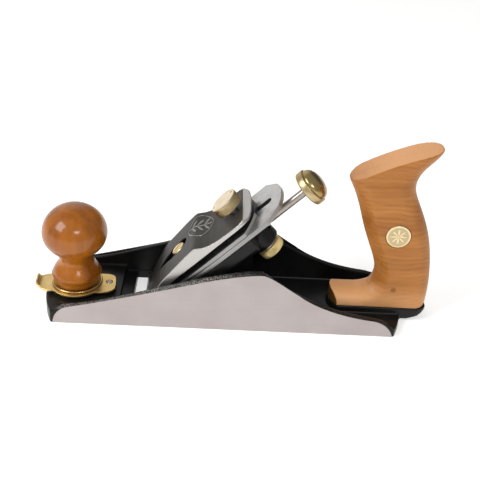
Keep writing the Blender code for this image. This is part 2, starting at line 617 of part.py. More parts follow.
def build_adjuster(brass, steel, bed_frame):
    """Rod, knob and collars turn together; the barrel swings in the boss; the carriage runs along the bed."""
    along_rod = (0, math.radians(90), 0)
    rod_axis = make_empty("rod_axis", (PIVOT_U, 0, ROD_H))
    rod_axis.parent = bed_frame
    start = 61.0 * MM - PIVOT_U
    end = 149.0 * MM - PIVOT_U
    rod = make_object("adjuster_rod", disc(ROD_R, start, end, 0.5 * MM, 24), steel, rod_axis,
                      rotation=along_rod)
    smooth(rod)
    collar = make_object("rod_collar", ring(ROD_R + GAP, 3.6 * MM, BARREL_R + 0.4 * MM, BARREL_R + 3.8 * MM,
                                            segments=24), steel, rod_axis, rotation=along_rod)
    smooth(collar)
    retainer = make_object("rod_retainer", ring(ROD_R + GAP, 5.0 * MM, -BARREL_R - 3.3 * MM,
                                                -BARREL_R - 1.2 * MM, segments=24), steel, rod_axis,
                           rotation=along_rod)
    smooth(retainer)
    face = 142.6 * MM - PIVOT_U
    bore_r = ROD_R + GAP
    bore_end = end + GAP
    profile = [(0, bore_end), (bore_r, bore_end), (bore_r, face), (11.2 * MM, face),
               (12.0 * MM, face + 0.8 * MM), (12.0 * MM, face + 5.0 * MM), (11.3 * MM, face + 5.6 * MM)]
    for i in range(1, 7):
        angle = math.radians(90.0 * i / 6)
        profile.append((11.0 * MM * math.cos(angle), face + 5.9 * MM + 6.2 * MM * math.sin(angle)))
    profile[-1] = (0.0, profile[-1][1])
    knob = make_object("adjuster_knob", turned(profile, 40), brass, rod_axis, rotation=along_rod)
    smooth(knob)

    pivot_axis = make_empty("pivot_axis", (PIVOT_U, 0, 0))
    pivot_axis.parent = bed_frame
    nut_top = BOSS_UNDER_H - 1.2 * MM - GAP
    nut_low = nut_top - 6.3 * MM
    step_h = BOSS_UNDER_H + 2.9 * MM
    profile = [(0, nut_low), (PIVOT_STUD_R - 0.5 * MM, nut_low), (PIVOT_STUD_R, nut_low + 0.5 * MM),
               (PIVOT_STUD_R, step_h), (BARREL_R, step_h), (BARREL_R, -4.2 * MM), (0, -4.2 * MM)]
    barrel = make_object("pivot_barrel", turned(profile, 36), steel, pivot_axis)
    way = make_object("way", disc(ROD_R + GAP, -20 * MM, 20 * MM, segments=24), parent=pivot_axis,
                      location=(0, 0, ROD_H), rotation=along_rod)
    cut(barrel, way)
    smooth(barrel)
    washer = make_object("pivot_washer", ring(PIVOT_STUD_R + GAP, 7.6 * MM, BOSS_UNDER_H - 1.2 * MM,
                                              BOSS_UNDER_H - GAP, segments=28), steel, pivot_axis)
    smooth(washer)
    nut = make_object("pivot_lock_nut", ring(PIVOT_STUD_R + GAP, 9.0 * MM, nut_low, nut_top,
                                             0.6 * MM, 40), brass, pivot_axis)
    smooth(nut)

    carriage_axis = make_empty("carriage_axis", (CAP_IRON_SCREW_U, 0, 0))
    carriage_axis.parent = bed_frame
    carriage = make_object("adjuster_carriage", box((-7.4 * MM, -8.6 * MM, -15.4 * MM),
                                                    (7.4 * MM, 8.6 * MM, -6.9 * MM)), steel, carriage_axis)
    cup = make_object("cup", disc(9.6 * MM, -9 * MM, -3.7 * MM, segments=32), parent=carriage_axis)
    cup_trim = make_object("cup_trim", box((-7.4 * MM, -10 * MM, -9.5 * MM), (7.4 * MM, 10 * MM, 0)),
                           parent=carriage_axis)
    combine(cup, [cup_trim], "INTERSECT")
    add(carriage, cup)
    head_room = make_object("head_room", disc(7.7 * MM, -6.8 * MM, 0, segments=32), parent=carriage_axis)
    thread = make_object("thread", disc(ROD_R + GAP, -20 * MM, 20 * MM, segments=24), parent=carriage_axis,
                         location=(0, 0, ROD_H), rotation=along_rod)
    cut(carriage, head_room, thread)
    smooth(carriage)


# ---------------------------------------------------------------- tote

def tote_outline():
    """Side view of the rear handle, run on past its base, nose and top, which are trimmed afterwards."""
    front = [(62, 20.4)]
    front += bezier((92.5, 20.4), (99.5, 21.0), (104.8, 26.0), (104.9, 35.0), 5)
    front += bezier((104.9, 35.0), (104.4, 44.0), (96.4, 58.0), (91.4, 74.5), 5)
    front += bezier((91.4, 74.5), (88.0, 86.0), (85.5, 93.5), (80.0, 103.6), 4)
    front += [(72.0, 117.4), (72.0, 165.0), (140.0, 165.0)]
    back = bezier((138.9, 127.0), (135.0, 117.6), (124.6, 114.0), (124.4, 101.5), 6)
    back += bezier((124.4, 101.5), (124.4, 92.0), (136.0, 78.0), (140.2, 55.0), 6)
    back += bezier((140.2, 55.0), (142.8, 42.0), (144.0, 28.0), (143.2, 16.0), 4)
    back += [(143.2, 16.0), (142.4, -30.0), (62, -30.0)]
    return in_mm(front + back)


def inset(outline, distance):
    """Move every side of an outline inwards; the outline runs clockwise as seen here, so inside is to its right."""
    moved = []
    count = len(outline)
    for i in range(count):
        before, here, after = (Vector(outline[(i + k) % count]) for k in (-1, 0, 1))
        side_a = (here - before).normalized()
        side_b = (after - here).normalized()
        normal_a = Vector((side_a.y, -side_a.x))
        normal_b = Vector((side_b.y, -side_b.x))
        middle = (normal_a + normal_b).normalized()
        moved.append(tuple(here + middle * distance / max(middle.dot(normal_a), 0.5)))
    return moved


def rounded_prism(outline, half, radius, steps):
    """Extrude an outline across Y with its edges rounded over, for a shape that a hand can hold."""
    shape = bmesh.new()
    layers = []
    for i in range(steps + 1):
        angle = math.pi / 2 * i / steps
        layers.append((half - radius * (1 - math.cos(angle)), radius * (1 - math.sin(angle))))
    rows = []
    for y, depth in [(-y, d) for y, d in layers] + layers[::-1]:
        rows.append([shape.verts.new((x, y, z)) for x, z in inset(outline, depth)])
    for row, following in zip(rows, rows[1:]):
        for i in range(len(row)):
            j = (i + 1) % len(row)
            shape.faces.new((row[i], row[j], following[j], following[i]))
    shape.faces.new(rows[0])
    shape.faces.new(rows[-1])
    return shape


def build_tote(cherry, brass, steel):
    tote = make_object("tote", rounded_prism(tote_outline(), TOTE_HALF, 9.5 * MM, 3), cherry)
    top = bezier((60, 90.5), (82, 106.8), (108, 121.6), (134.6, 128.0), 8) + [(134.6, 128.0), (170, 135.0)]
    top_trim = make_object("top_trim", prism(in_mm(top + [(170, 175), (60, 175)]), -30 * MM, 30 * MM))
    base_trim = make_object("base_trim", box((50 * MM, -30 * MM, -40 * MM), (160 * MM, 30 * MM, TOTE_BASE_Z)))
    tail_trim = make_object("tail_trim", prism(in_mm([(136.0, 8.0), (141.4, 11.2), (144.6, 16.5), (150, 16.5),
                                                      (150, 8.0)]), -30 * MM, 30 * MM))
    nose = bow(14.5 * MM, 8.2 * MM, 75.0 * MM, -1, 10)
    nose_plan = [(50 * MM, -14.5 * MM)] + nose + [(50 * MM, 14.5 * MM)]
    nose_trim = make_object("nose_trim", prism(nose_plan, -20 * MM, 60 * MM, "Z"))
    bolt_axis = make_empty("tote_bolt_axis", (MEDALLION_X, 0, MEDALLION_Z))
    bolt_axis.rotation_euler = (0, TOTE_BOLT_LEAN, 0)
    bolt_way = make_object("bolt_way", disc(3.5 * MM, -75 * MM, 12 * MM, segments=24), parent=bolt_axis)
    across = (math.radians(90), 0, 0)
    nut_way = make_object("nut_way", disc(5.5 * MM, -9 * MM, 20 * MM, segments=24), parent=bolt_axis,
                          rotation=across)
    medallion_seat = make_object("seat", disc(MEDALLION_R + GAP, 0, 10 * MM, segments=32),
                                 location=(MEDALLION_X, -TOTE_HALF + 2.2 * MM, MEDALLION_Z), rotation=across)
    insert_way = make_object("insert_way", disc(4.3 * MM, 5 * MM, 17.8 * MM, segments=24),
                             location=(TOE_SCREW_X, 0, 0))
    cut(tote, top_trim, base_trim, tail_trim, nose_trim, bolt_way, nut_way, medallion_seat, insert_way)
    smooth(tote, 50)

    medallion = make_object("medallion", disc(MEDALLION_R, -1.7 * MM, 0.3 * MM, 0.25 * MM, 36), brass,
                            location=(MEDALLION_X, -TOTE_HALF, MEDALLION_Z), rotation=across)
    smooth(medallion)
    nut = make_object("tote_barrel_nut", disc(5.2 * MM, -8.4 * MM, 8.6 * MM, 0.5 * MM, 28), brass, bolt_axis,
                      rotation=across)
    thread = make_object("nut_thread", disc(3.0 * MM + GAP, -10 * MM, 10 * MM, segments=20), parent=bolt_axis)
    cut(nut, thread)
    smooth(nut)
    seat_depth = (MEDALLION_Z - BOLT_FOOT_Z) / math.cos(TOTE_BOLT_LEAN) - 0.2 * MM
    head = -seat_depth - 1.3 * MM - GAP
    profile = [(0, head - 2.4 * MM), (4.8 * MM, head - 2.4 * MM), (5.2 * MM, head - 2.0 * MM), (5.2 * MM, head),
               (3.0 * MM, head), (3.0 * MM, 9.0 * MM), (0, 9.0 * MM)]
    bolt = make_object("tote_bolt", turned(profile, 24), steel, bolt_axis)
    smooth(bolt)
    washer = make_object("tote_bolt_washer", ring(3.0 * MM + GAP, 6.0 * MM, head + GAP, -seat_depth - GAP,
                                                  segments=24), steel, bolt_axis)
    smooth(washer)
    profile = [(0, 1.0 * MM), (4.4 * MM, 1.0 * MM), (4.9 * MM, 1.5 * MM), (4.9 * MM, 4.3 * MM),
               (2.5 * MM, 4.3 * MM), (2.5 * MM, 16.6 * MM), (0, 16.6 * MM)]
    screw = make_object("toe_screw", turned(profile, 24), steel, location=(TOE_SCREW_X, 0, 0))
    smooth(screw)
    insert = make_object("toe_insert", ring(2.5 * MM + GAP, 4.0 * MM, TOTE_BASE_Z + 0.2 * MM, 17.4 * MM,
                                            segments=24), brass, location=(TOE_SCREW_X, 0, 0))
    smooth(insert)


def build():
    clear_scene()
    japanned = make_material("japanned_iron", (0.012, 0.012, 0.012), 0.45, 0.0)
    ground_iron = make_material("ground_iron", (0.56, 0.53, 0.51), 0.42, 0.9)
    bright_steel = make_material("bright_steel", (0.62, 0.6, 0.58), 0.25, 1.0)
    blade_steel = make_material("blade_steel", (0.5, 0.49, 0.49), 0.35, 1.0)
    cap_black = make_material("cap_black", (0.05, 0.045, 0.04), 0.42, 0.2)
    brass = make_material("brass", (0.78, 0.58, 0.26), 0.3, 1.0)
    knob_cherry = make_material("knob_cherry", (0.45, 0.15, 0.035), 0.22, 0.0)
    tote_cherry = make_material("tote_cherry", (0.58, 0.27, 0.1), 0.4, 0.0)

    bed_frame = make_empty("bed_frame", (EDGE_X, 0, 0), -BED_ANGLE)
    build_body(japanned, bed_frame)
    build_shoe(ground_iron)
    build_knob(knob_cherry, brass, bright_steel)
    build_lever(brass, bright_steel)
    build_iron(blade_steel, brass, bed_frame)
    build_lever_cap(cap_black, brass, bright_steel, bed_frame)
    build_adjuster(brass, bright_steel, bed_frame)
    build_tote(tote_cherry, brass, bright_steel)
    bpy.context.view_layer.update()


build()
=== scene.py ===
"""Looks of the smoothing plane: a mesh for each visible piece, its materials, the floor, lights and camera.

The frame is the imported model's, in metres: +X from toe to heel, +Y across the sole, +Z up. Outlines and the
levels of solid(), bar() and brick() are in millimetres. Pieces on the bed are built in bed coordinates:
u up along the iron, y across, h square to the iron.
"""
import json
import math

import bmesh
import bpy
from mathutils import Matrix, Vector


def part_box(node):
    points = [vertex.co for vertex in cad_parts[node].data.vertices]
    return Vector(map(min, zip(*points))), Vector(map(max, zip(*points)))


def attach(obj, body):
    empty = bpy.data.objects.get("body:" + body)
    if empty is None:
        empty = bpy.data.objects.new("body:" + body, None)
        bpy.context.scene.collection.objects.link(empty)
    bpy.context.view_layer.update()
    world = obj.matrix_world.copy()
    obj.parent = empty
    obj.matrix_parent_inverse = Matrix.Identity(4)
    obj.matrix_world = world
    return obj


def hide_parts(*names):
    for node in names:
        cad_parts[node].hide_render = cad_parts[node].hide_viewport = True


MM = 0.001
GAP = 0.3 * MM
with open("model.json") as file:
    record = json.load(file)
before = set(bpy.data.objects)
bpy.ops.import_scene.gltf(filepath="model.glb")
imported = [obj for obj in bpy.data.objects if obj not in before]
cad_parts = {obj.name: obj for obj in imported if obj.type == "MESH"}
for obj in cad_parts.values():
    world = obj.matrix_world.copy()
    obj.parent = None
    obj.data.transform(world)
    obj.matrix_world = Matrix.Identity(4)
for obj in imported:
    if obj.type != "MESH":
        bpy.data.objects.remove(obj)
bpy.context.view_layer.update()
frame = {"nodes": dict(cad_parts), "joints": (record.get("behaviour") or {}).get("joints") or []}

# ---------------------------------------------------------------- places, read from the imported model

JOINTS = {joint["name"]: joint for joint in frame["joints"]}
UP_BED = Vector(JOINTS["cap_slide"]["axis"]).normalized()
BED_NORMAL = Vector(JOINTS["lock_knob_turn"]["axis"]).normalized()
PIVOT = Vector(JOINTS["adjuster_swing"]["pos_m"])
BED_ORIGIN = PIVOT - UP_BED * (PIVOT.z / UP_BED.z)
BED = Matrix((UP_BED, Vector((0, 1, 0)), BED_NORMAL)).transposed().to_4x4()
BED.translation = BED_ORIGIN
TO_BED = BED.inverted()
PIVOT_U = (TO_BED @ PIVOT).x
ROD_START = TO_BED @ Vector(JOINTS["adjuster_spin"]["pos_m"])
LOCK_U = (TO_BED @ Vector(JOINTS["lock_knob_turn"]["pos_m"])).x
LEVER_PIN = Vector(JOINTS["lever_swing"]["pos_m"])


def middle(node):
    low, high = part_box(node)
    return (low + high) / 2


BODY_LOW, BODY_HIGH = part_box("body_casting")
HALF_WIDTH = BODY_HIGH.y
TOE_X = BODY_LOW.x
KNOB_BASE_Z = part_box("front_knob")[0].z
KNOB_X = middle("front_knob").x
TOTE_BASE_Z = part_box("tote")[0].z
MEDALLION = middle("medallion")
MEDAL_RADIUS = (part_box("medallion")[1].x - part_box("medallion")[0].x) / 2
BOLT_FOOT = middle("tote_bolt_washer")
BOLT_LEAN = math.atan2(MEDALLION.x - BOLT_FOOT.x, MEDALLION.z - BOLT_FOOT.z)
SHOE_PER_RADIAN = 16.5 * MM   # travel of the toe piece for one radian of the lever

# In millimetres: the cap screw's place up the bed, half widths of three pieces, then sizes of the casting
CAP_SCREW_U = 47.5
IRON_HALF = 25.4
CAP_HALF = 24.8
TOTE_HALF = 12.4
CHEEK = 4.75
FLOOR_Z = 4.8
DECK_Z = 9.6
DECK_END_X = -71.0
BED_SEAT_H = -3.4


# ---------------------------------------------------------------- mesh helpers

def in_mm(points):
    return [(a * MM, b * MM) for a, b in points]


def bezier(start, handle_a, handle_b, end, steps):
    """Points along a cubic curve, without its last point."""
    curve = []
    for i in range(steps):
        t = i / steps
        s = 1.0 - t
        curve.append(tuple(s ** 3 * a + 3 * s * s * t * b + 3 * s * t * t * c + t ** 3 * d
                           for a, b, c, d in zip(start, handle_a, handle_b, end)))
    return curve


def arc(centre, radius, start, end, steps):
    """Points on a circle, both ends included; angles in degrees."""
    return [(centre[0] + radius * math.cos(math.radians(start + (end - start) * i / steps)),
             centre[1] + radius * math.sin(math.radians(start + (end - start) * i / steps)))
            for i in range(steps + 1)]


def bow(half_width, sag, apex, sign, steps=24):
    """Plan points of a bowed end from -y to +y; sign is -1 where it bows towards the toe."""
    radius = (half_width ** 2 + sag ** 2) / (2 * sag)
    spread = math.asin(half_width / radius)
    angles = [-spread + 2 * spread * i / steps for i in range(steps + 1)]
    return [(apex - sign * radius * (1 - math.cos(angle)), radius * math.sin(angle)) for angle in angles]


def slot_outline(start, end, half_width, steps=14):
    """Outline of a straight slot along the first coordinate, with round ends."""
    return (arc((start, 0.0), half_width, 90, 270, steps)
            + arc((end, 0.0), half_width, -90, 90, steps))


def path_slot(path, half_width, steps=14):
    """Outline of the slot that a round pin leaves along a path of points."""
    sides = []
    for points in (path, path[::-1]):
        for i, point in enumerate(points):
            along = (points[min(i + 1, len(points) - 1)] - points[max(i - 1, 0)]).normalized()
            sides.append((point.x + along.y * half_width, point.y - along.x * half_width))
        heading = math.degrees(math.atan2(along.y, along.x))
        sides += arc(points[-1], half_width, heading - 90, heading + 90, steps)[1:-1]
    return sides


def prism(outline, low, high, axis="Y"):
    """Extrude a closed outline between two levels of one axis; the outline holds the other two, in order."""
    shape = bmesh.new()
    order = {"Y": (0, 2, 1), "Z": (0, 1, 2)}[axis]
    rings = []
    for level in (low, high):
        rings.append([shape.verts.new([(a, b, level)[i] for i in order]) for a, b in outline])
        shape.faces.new(rings[-1])
    skin(shape, rings)
    return shape


def shift(x, z=0.0):
    """A move to a place on the plane's centre line."""
    return Matrix.Translation((x, 0, z))


def spin(degrees, axis):
    return Matrix.Rotation(math.radians(degrees), 4, axis)


def on_bed(u):
    """Bed coordinates whose origin is moved to u on the bed's centre line."""
    return BED @ shift(u)


def skin(shape, rows):
    """Join rows of vertices, each a closed ring, into a tube."""
    for row, following in zip(rows, rows[1:]):
        for i in range(len(row)):
            j = (i + 1) % len(row)
            shape.faces.new((row[i], row[j], following[j], following[i]))


def box(low, high):
    (x0, y0, z0), (x1, y1, z1) = low, high
    return prism([(x0, z0), (x1, z0), (x1, z1), (x0, z1)], y0, y1)


def turned(profile, segments=128, ridges=0, ridge_depth=0.0, ridged=None):
    """Turn a profile of (radius, height) about Z; the heights inside `ridged` get a straight knurl."""
    shape = bmesh.new()
    rings = []
    for radius, height in profile:
        if radius < 1e-9:
            rings.append([shape.verts.new((0.0, 0.0, height))])
            continue
        knurl = ridges and ridged[0] <= height <= ridged[1] and radius >= ridged[2]
        ring = []
        for i in range(segments):
            angle = math.tau * i / segments
            r = radius - (ridge_depth * (0.5 + 0.5 * math.cos(ridges * angle)) if knurl else 0.0)
            ring.append(shape.verts.new((r * math.cos(angle), r * math.sin(angle), height)))
        rings.append(ring)
    pairs = list(zip(rings, rings[1:]))
    if len(rings[0]) > 1 or len(rings[-1]) > 1:
        pairs.append((rings[-1], rings[0]))
    for ring, following in pairs:
        for i in range(segments):
            j = (i + 1) % segments
            corners = [ring[i % len(ring)], ring[j % len(ring)], following[j % len(following)],
                       following[i % len(following)]]
            corners = [v for k, v in enumerate(corners) if v not in corners[:k]]
            if len(corners) > 2:
                shape.faces.new(corners)
    return shape


def solid(name, outline, low, high, axis="Y", place=None):
    """A prism as an object; its outline and levels are in millimetres."""
    return make(name, prism(in_mm(outline), low * MM, high * MM, axis), place)


def bar(name, radius, low, high, place, segments=48):
    """A round bar about the height axis of a place, in millimetres."""
    profile = [(0, low), (radius, low), (radius, high), (0, high)]
    return make(name, turned(in_mm(profile), segments), place)


def brick(name, low, high, place=None):
    """A box as an object, from its corners in millimetres."""
    return make(name, box(*([c * MM for c in corner] for corner in (low, high))), place)


def make(name, shape, matrix=None):
    """Finish a bmesh as a linked object whose mesh is in the frame's own coordinates."""
    if matrix is not None:
        shape.transform(matrix)
    bmesh.ops.recalc_face_normals(shape, faces=shape.faces[:])
    mesh = bpy.data.meshes.new(name)
    shape.to_mesh(mesh)
    shape.free()
    obj = bpy.data.objects.new(name, mesh)
    bpy.context.scene.collection.objects.link(obj)
    return obj


def settle(obj):
    """Apply every modifier of an object to its mesh."""
    bpy.context.view_layer.update()
    graph = bpy.context.evaluated_depsgraph_get()
    mesh = bpy.data.meshes.new_from_object(obj.evaluated_get(graph))
    obj.modifiers.clear()
    old = obj.data
    obj.data = mesh
    bpy.data.meshes.remove(old)
    mesh.name = obj.name
    return obj


def combine(obj, others, operation):
    for other in others:
        modifier = obj.modifiers.new(operation.lower(), "BOOLEAN")
        modifier.object = other
        modifier.operation = operation
        modifier.solver = "EXACT"
    settle(obj)
    for other in others:
        bpy.data.objects.remove(other, do_unlink=True)
    return obj


def cut(obj, *others):
    return combine(obj, others, "DIFFERENCE")


def add(obj, *others):
    return combine(obj, others, "UNION")


def soften(obj, voxel, iterations):
    """Rebuild a solid as an even skin and round its edges a little, as casting or sanding does."""
    remesh = obj.modifiers.new("remesh", "REMESH")
    remesh.mode = "VOXEL"
    remesh.voxel_size = voxel
    relax = obj.modifiers.new("relax", "SMOOTH")
    relax.factor = 0.5
    relax.iterations = iterations
    return settle(obj)


def bevel(obj, width, angle=30.0):
    modifier = obj.modifiers.new("bevel", "BEVEL")
    modifier.width = width
    modifier.segments = 2
    modifier.limit_method = "ANGLE"
    modifier.angle_limit = math.radians(angle)
    return settle(obj)


def smooth(obj, angle=35.0):
    obj.data.shade_smooth()
    obj.data.set_sharp_from_angle(angle=math.radians(angle))
    return obj


def mark(obj, name, rule):
    """Store a value from 0 to 1 for each vertex, for a material to read."""
    mesh = obj.data
    layer = mesh.attributes.new(name, "FLOAT", "POINT")
    layer.data.foreach_set("value", [rule(vertex.co, vertex.normal) for vertex in mesh.vertices])


def step(low, high, value):
    """0 below low, 1 above high, smooth between."""
    t = min(max((value - low) / (high - low), 0.0), 1.0)
    return t * t * (3.0 - 2.0 * t)


def dress(obj, material, body, slot, *replaced):
    """Give a new piece its material and its body, and hide the CAD nodes that it stands for; the `slot`
    argument is not used.
    """
    obj.data.materials.clear()
    obj.data.materials.append(MATERIALS[material])
    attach(obj, body)
    if replaced:
        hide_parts(*replaced)
    return obj


def repaint(obj, materials, rule):
    """Add further materials to a dressed piece; the rule gives each face the index of its material."""
    for material in materials:
        obj.data.materials.append(MATERIALS[material])
    for face in obj.data.polygons:
        face.material_index = rule(face)


# ---------------------------------------------------------------- materials

class Finish:
    """A Principled material and short ways to wire its nodes."""

    def __init__(self, name, colour, roughness, metallic=0.0, coat=0.0, coat_roughness=0.1, specular=0.5):
        self.material = bpy.data.materials.new(name)
        self.material.use_nodes = True
        self.tree = self.material.node_tree
        self.shader = self.tree.nodes["Principled BSDF"]
        for socket, value in (("Base Color", (*colour, 1.0)), ("Roughness", roughness),
                              ("Metallic", metallic), ("Coat Weight", coat),
                              ("Coat Roughness", coat_roughness), ("Specular IOR Level", specular)):
            self.shader.inputs[socket].default_value = value
        self.place = self.node("ShaderNodeTexCoord").outputs["Object"]

    def node(self, kind, settings=(), **inputs):
        node = self.tree.nodes.new(kind)
        for key, value in dict(settings).items():
            setattr(node, key, value)
        for key, value in inputs.items():
            socket = node.inputs[key.replace("_", " ")]
            if isinstance(value, bpy.types.NodeSocket):
                self.tree.links.new(value, socket)
            else:
                socket.default_value = value
        return node

    def link(self, source, socket):
        self.tree.links.new(source, self.shader.inputs[socket])

    def stretched(self, scale, turn=(0.0, 0.0, 0.0)):
        """Object coordinates turned and scaled, so that noise can run along one direction."""
        mapping = self.node("ShaderNodeMapping", Scale=scale, Rotation=turn, Vector=self.place)
        return mapping.outputs["Vector"]

    def noise(self, vector, scale=1.0, detail=4.0, roughness=0.55):
        node = self.node("ShaderNodeTexNoise", Vector=vector, Scale=scale, Detail=detail, Roughness=roughness)
        return node.outputs["Fac"]

    def ramp(self, value, low, high, to_low=0.0, to_high=1.0):
        node = self.node("ShaderNodeMapRange", Value=value, From_Min=low, From_Max=high, To_Min=to_low,
                         To_Max=to_high)
        return node.outputs["Result"]

    def mix(self, factor, first, second):
        """Blend two colours, each a triple or a socket."""
        node = self.tree.nodes.new("ShaderNodeMix")
        node.data_type = "RGBA"
        node.clamp_factor = True
        for socket, value in ((node.inputs["Factor"], factor), (node.inputs["A"], first),
                              (node.inputs["B"], second)):
            self.plug(value, socket)
        return node.outputs["Result"]

    def plug(self, value, socket):
        if isinstance(value, bpy.types.NodeSocket):
            self.tree.links.new(value, socket)
        elif isinstance(value, (int, float)):
            socket.default_value = value
        else:
            socket.default_value = (*value, 1.0)

    def math(self, operation, first, second=0.0):
        node = self.node("ShaderNodeMath", {"operation": operation})
        for socket, value in zip(node.inputs, (first, second)):
            self.plug(value, socket)
        return node.outputs["Value"]

    def painted(self, name):
        """The value that mark() stored on the mesh."""
        return self.node("ShaderNodeAttribute", {"attribute_name": name}).outputs["Fac"]

    def bump(self, height, distance, strength=1.0, under=None):
        inputs = {"Height": height, "Distance": distance, "Strength": strength}
        node = self.node("ShaderNodeBump", **inputs)
        if under is not None:
            self.tree.links.new(under, node.inputs["Normal"])
        return node.outputs["Normal"]


def cast_material():
    """Black japanning over iron: satin with a fine orange peel, rough and specked where it was filed."""
    look = Finish("japanned_iron", (0.008, 0.008, 0.008), 0.36, coat=0.08, coat_roughness=0.28, specular=0.2)
    broad = look.noise(look.place, 60.0, 3.0)
    peel = look.noise(look.place, 900.0, 3.0)
    sand = look.noise(look.place, 1300.0, 4.0, 0.7)
    specks = look.math("MULTIPLY", look.ramp(sand, 0.5, 0.58), look.painted("rough"))
    black = look.mix(look.ramp(broad, 0.35, 0.65), (0.005, 0.005, 0.0055), (0.011, 0.0105, 0.01))
    dull = look.mix(look.painted("rough"), black, (0.022, 0.021, 0.02))
    look.link(look.mix(specks, dull, (0.42, 0.4, 0.37)), "Base Color")
    look.link(look.math("ADD", look.ramp(broad, 0.3, 0.7, 0.3, 0.42),
                        look.math("MULTIPLY", look.painted("rough"), 0.25)), "Roughness")
    fine = look.bump(peel, 0.05 * MM, 0.5)
    grit = look.math("MULTIPLY", sand, look.painted("rough"))
    look.link(look.bump(grit, 0.5 * MM, 0.9, fine), "Normal")
    return look.material


def ground_material():
    """Surface-ground grey iron: pale and warm, with fine straight grinding lines along the sole."""
    look = Finish("ground_iron", (0.46, 0.41, 0.4), 0.46, metallic=0.55)
    lines = look.noise(look.stretched((25.0, 2600.0, 2600.0)), 1.0, 3.0, 0.6)
    cloud = look.noise(look.place, 38.0, 4.0)
    tone = look.mix(look.ramp(cloud, 0.35, 0.65), (0.435, 0.385, 0.375), (0.48, 0.43, 0.42))
    look.link(look.mix(look.ramp(lines, 0.3, 0.7, 0.0, 0.16), tone, (0.36, 0.32, 0.31)), "Base Color")
    look.link(look.ramp(lines, 0.3, 0.7, 0.4, 0.52), "Roughness")
    look.link(look.bump(lines, 0.012 * MM, 0.4), "Normal")
    return look.material


def steel_material(name, colour, roughness):
    """Bright steel with a fine even tooth and slight clouding."""
    look = Finish(name, colour, roughness, metallic=1.0)
    lines = look.noise(look.place, 1800.0, 3.0, 0.6)
    cloud = look.noise(look.place, 45.0, 4.0)
    dark = tuple(0.78 * c for c in colour)
    tone = look.mix(look.ramp(cloud, 0.4, 0.75), colour, tuple(0.88 * c for c in colour))
    look.link(look.mix(look.ramp(lines, 0.35, 0.75, 0.0, 0.5), tone, dark), "Base Color")
    look.link(look.ramp(lines, 0.3, 0.7, roughness - 0.06, roughness + 0.08), "Roughness")
    look.link(look.bump(lines, 0.01 * MM, 0.35), "Normal")
    return look.material


def blade_material():
    """Ground tool steel of the iron: satin, with lines across the blade and faint darker blotches."""
    look = Finish("blade_steel", (0.6, 0.585, 0.575), 0.34, metallic=0.9)
    turn = (0.0, math.radians(45.0), 0.0)
    lines = look.noise(look.stretched((3200.0, 60.0, 3200.0), turn), 1.0, 3.0, 0.6)
    stain = look.noise(look.place, 130.0, 5.0, 0.6)
    tone = look.mix(look.ramp(stain, 0.5, 0.75), (0.6, 0.58, 0.57), (0.43, 0.42, 0.42))
    look.link(look.mix(look.ramp(lines, 0.35, 0.7, 0.0, 0.3), tone, (0.45, 0.44, 0.43)), "Base Color")
    look.link(look.ramp(stain, 0.3, 0.8, 0.3, 0.44), "Roughness")
    look.link(look.bump(lines, 0.01 * MM, 0.35), "Normal")
    return look.material


def brass_material(name, colour, roughness, grain=(1.0, 1.0, 1.0), metallic=1.0, patina=False):
    """Brass with fine finishing lines and slight clouding; `patina` darkens its painted hollows."""
    look = Finish(name, colour, roughness, metallic=metallic)
    lines = look.noise(look.stretched(tuple(1500.0 * g for g in grain)), 1.0, 3.0, 0.6)
    cloud = look.noise(look.place, 90.0, 4.0)
    pale = tuple(min(1.0, 1.1 * c) for c in colour)
    warm = (0.9 * colour[0], 0.82 * colour[1], 0.66 * colour[2])
    tone = look.mix(look.ramp(cloud, 0.35, 0.7), pale, warm)
    if patina:
        tone = look.mix(look.painted("hollow"), tone, tuple(0.6 * c for c in colour))
    look.link(look.mix(look.ramp(lines, 0.4, 0.75, 0.0, 0.35), tone, tuple(0.7 * c for c in colour)),
              "Base Color")
    look.link(look.ramp(lines, 0.3, 0.7, roughness - 0.05, roughness + 0.09), "Roughness")
    look.link(look.bump(lines, 0.012 * MM, 0.35), "Normal")
    return look.material


def cap_material():
    """Lever cap: satin black paint with bare ground metal on its sides, end and worn edges, and painted
    shade, near black and without shine, in the keyhole and on the underside.
    """
    look = Finish("cap_black", (0.035, 0.031, 0.028), 0.42, specular=0.22)
    cloud = look.noise(look.place, 70.0, 4.0)
    peel = look.noise(look.place, 1500.0, 3.0)
    lines = look.noise(look.stretched((2600.0, 40.0, 2600.0), (0.0, math.radians(45.0), 0.0)), 1.0, 3.0)
    ragged = look.math("ADD", look.painted("bare"), look.ramp(peel, 0.3, 0.7, -0.12, 0.12))
    bare = look.ramp(ragged, 0.42, 0.58)
    paint = look.mix(look.ramp(cloud, 0.35, 0.7), (0.032, 0.028, 0.024), (0.05, 0.044, 0.039))
    metal = look.mix(look.ramp(lines, 0.35, 0.7, 0.0, 0.35), (0.54, 0.52, 0.5), (0.4, 0.385, 0.37))
    # painted shade: the marked keyhole walls and the underside turn near black and lose their shine
    with_painted_shade = look.mix(look.painted("deep"), look.mix(bare, paint, metal), (0.004, 0.004, 0.004))
    look.link(with_painted_shade, "Base Color")
    look.link(look.ramp(look.painted("deep"), 0.0, 1.0, 0.22, 0.02), "Specular IOR Level")
    look.link(look.math("MULTIPLY", bare, 0.9), "Metallic")
    look.link(look.ramp(bare, 0.0, 1.0, 0.44, 0.34), "Roughness")
    look.link(look.bump(peel, 0.04 * MM, 0.4), "Normal")
    return look.material


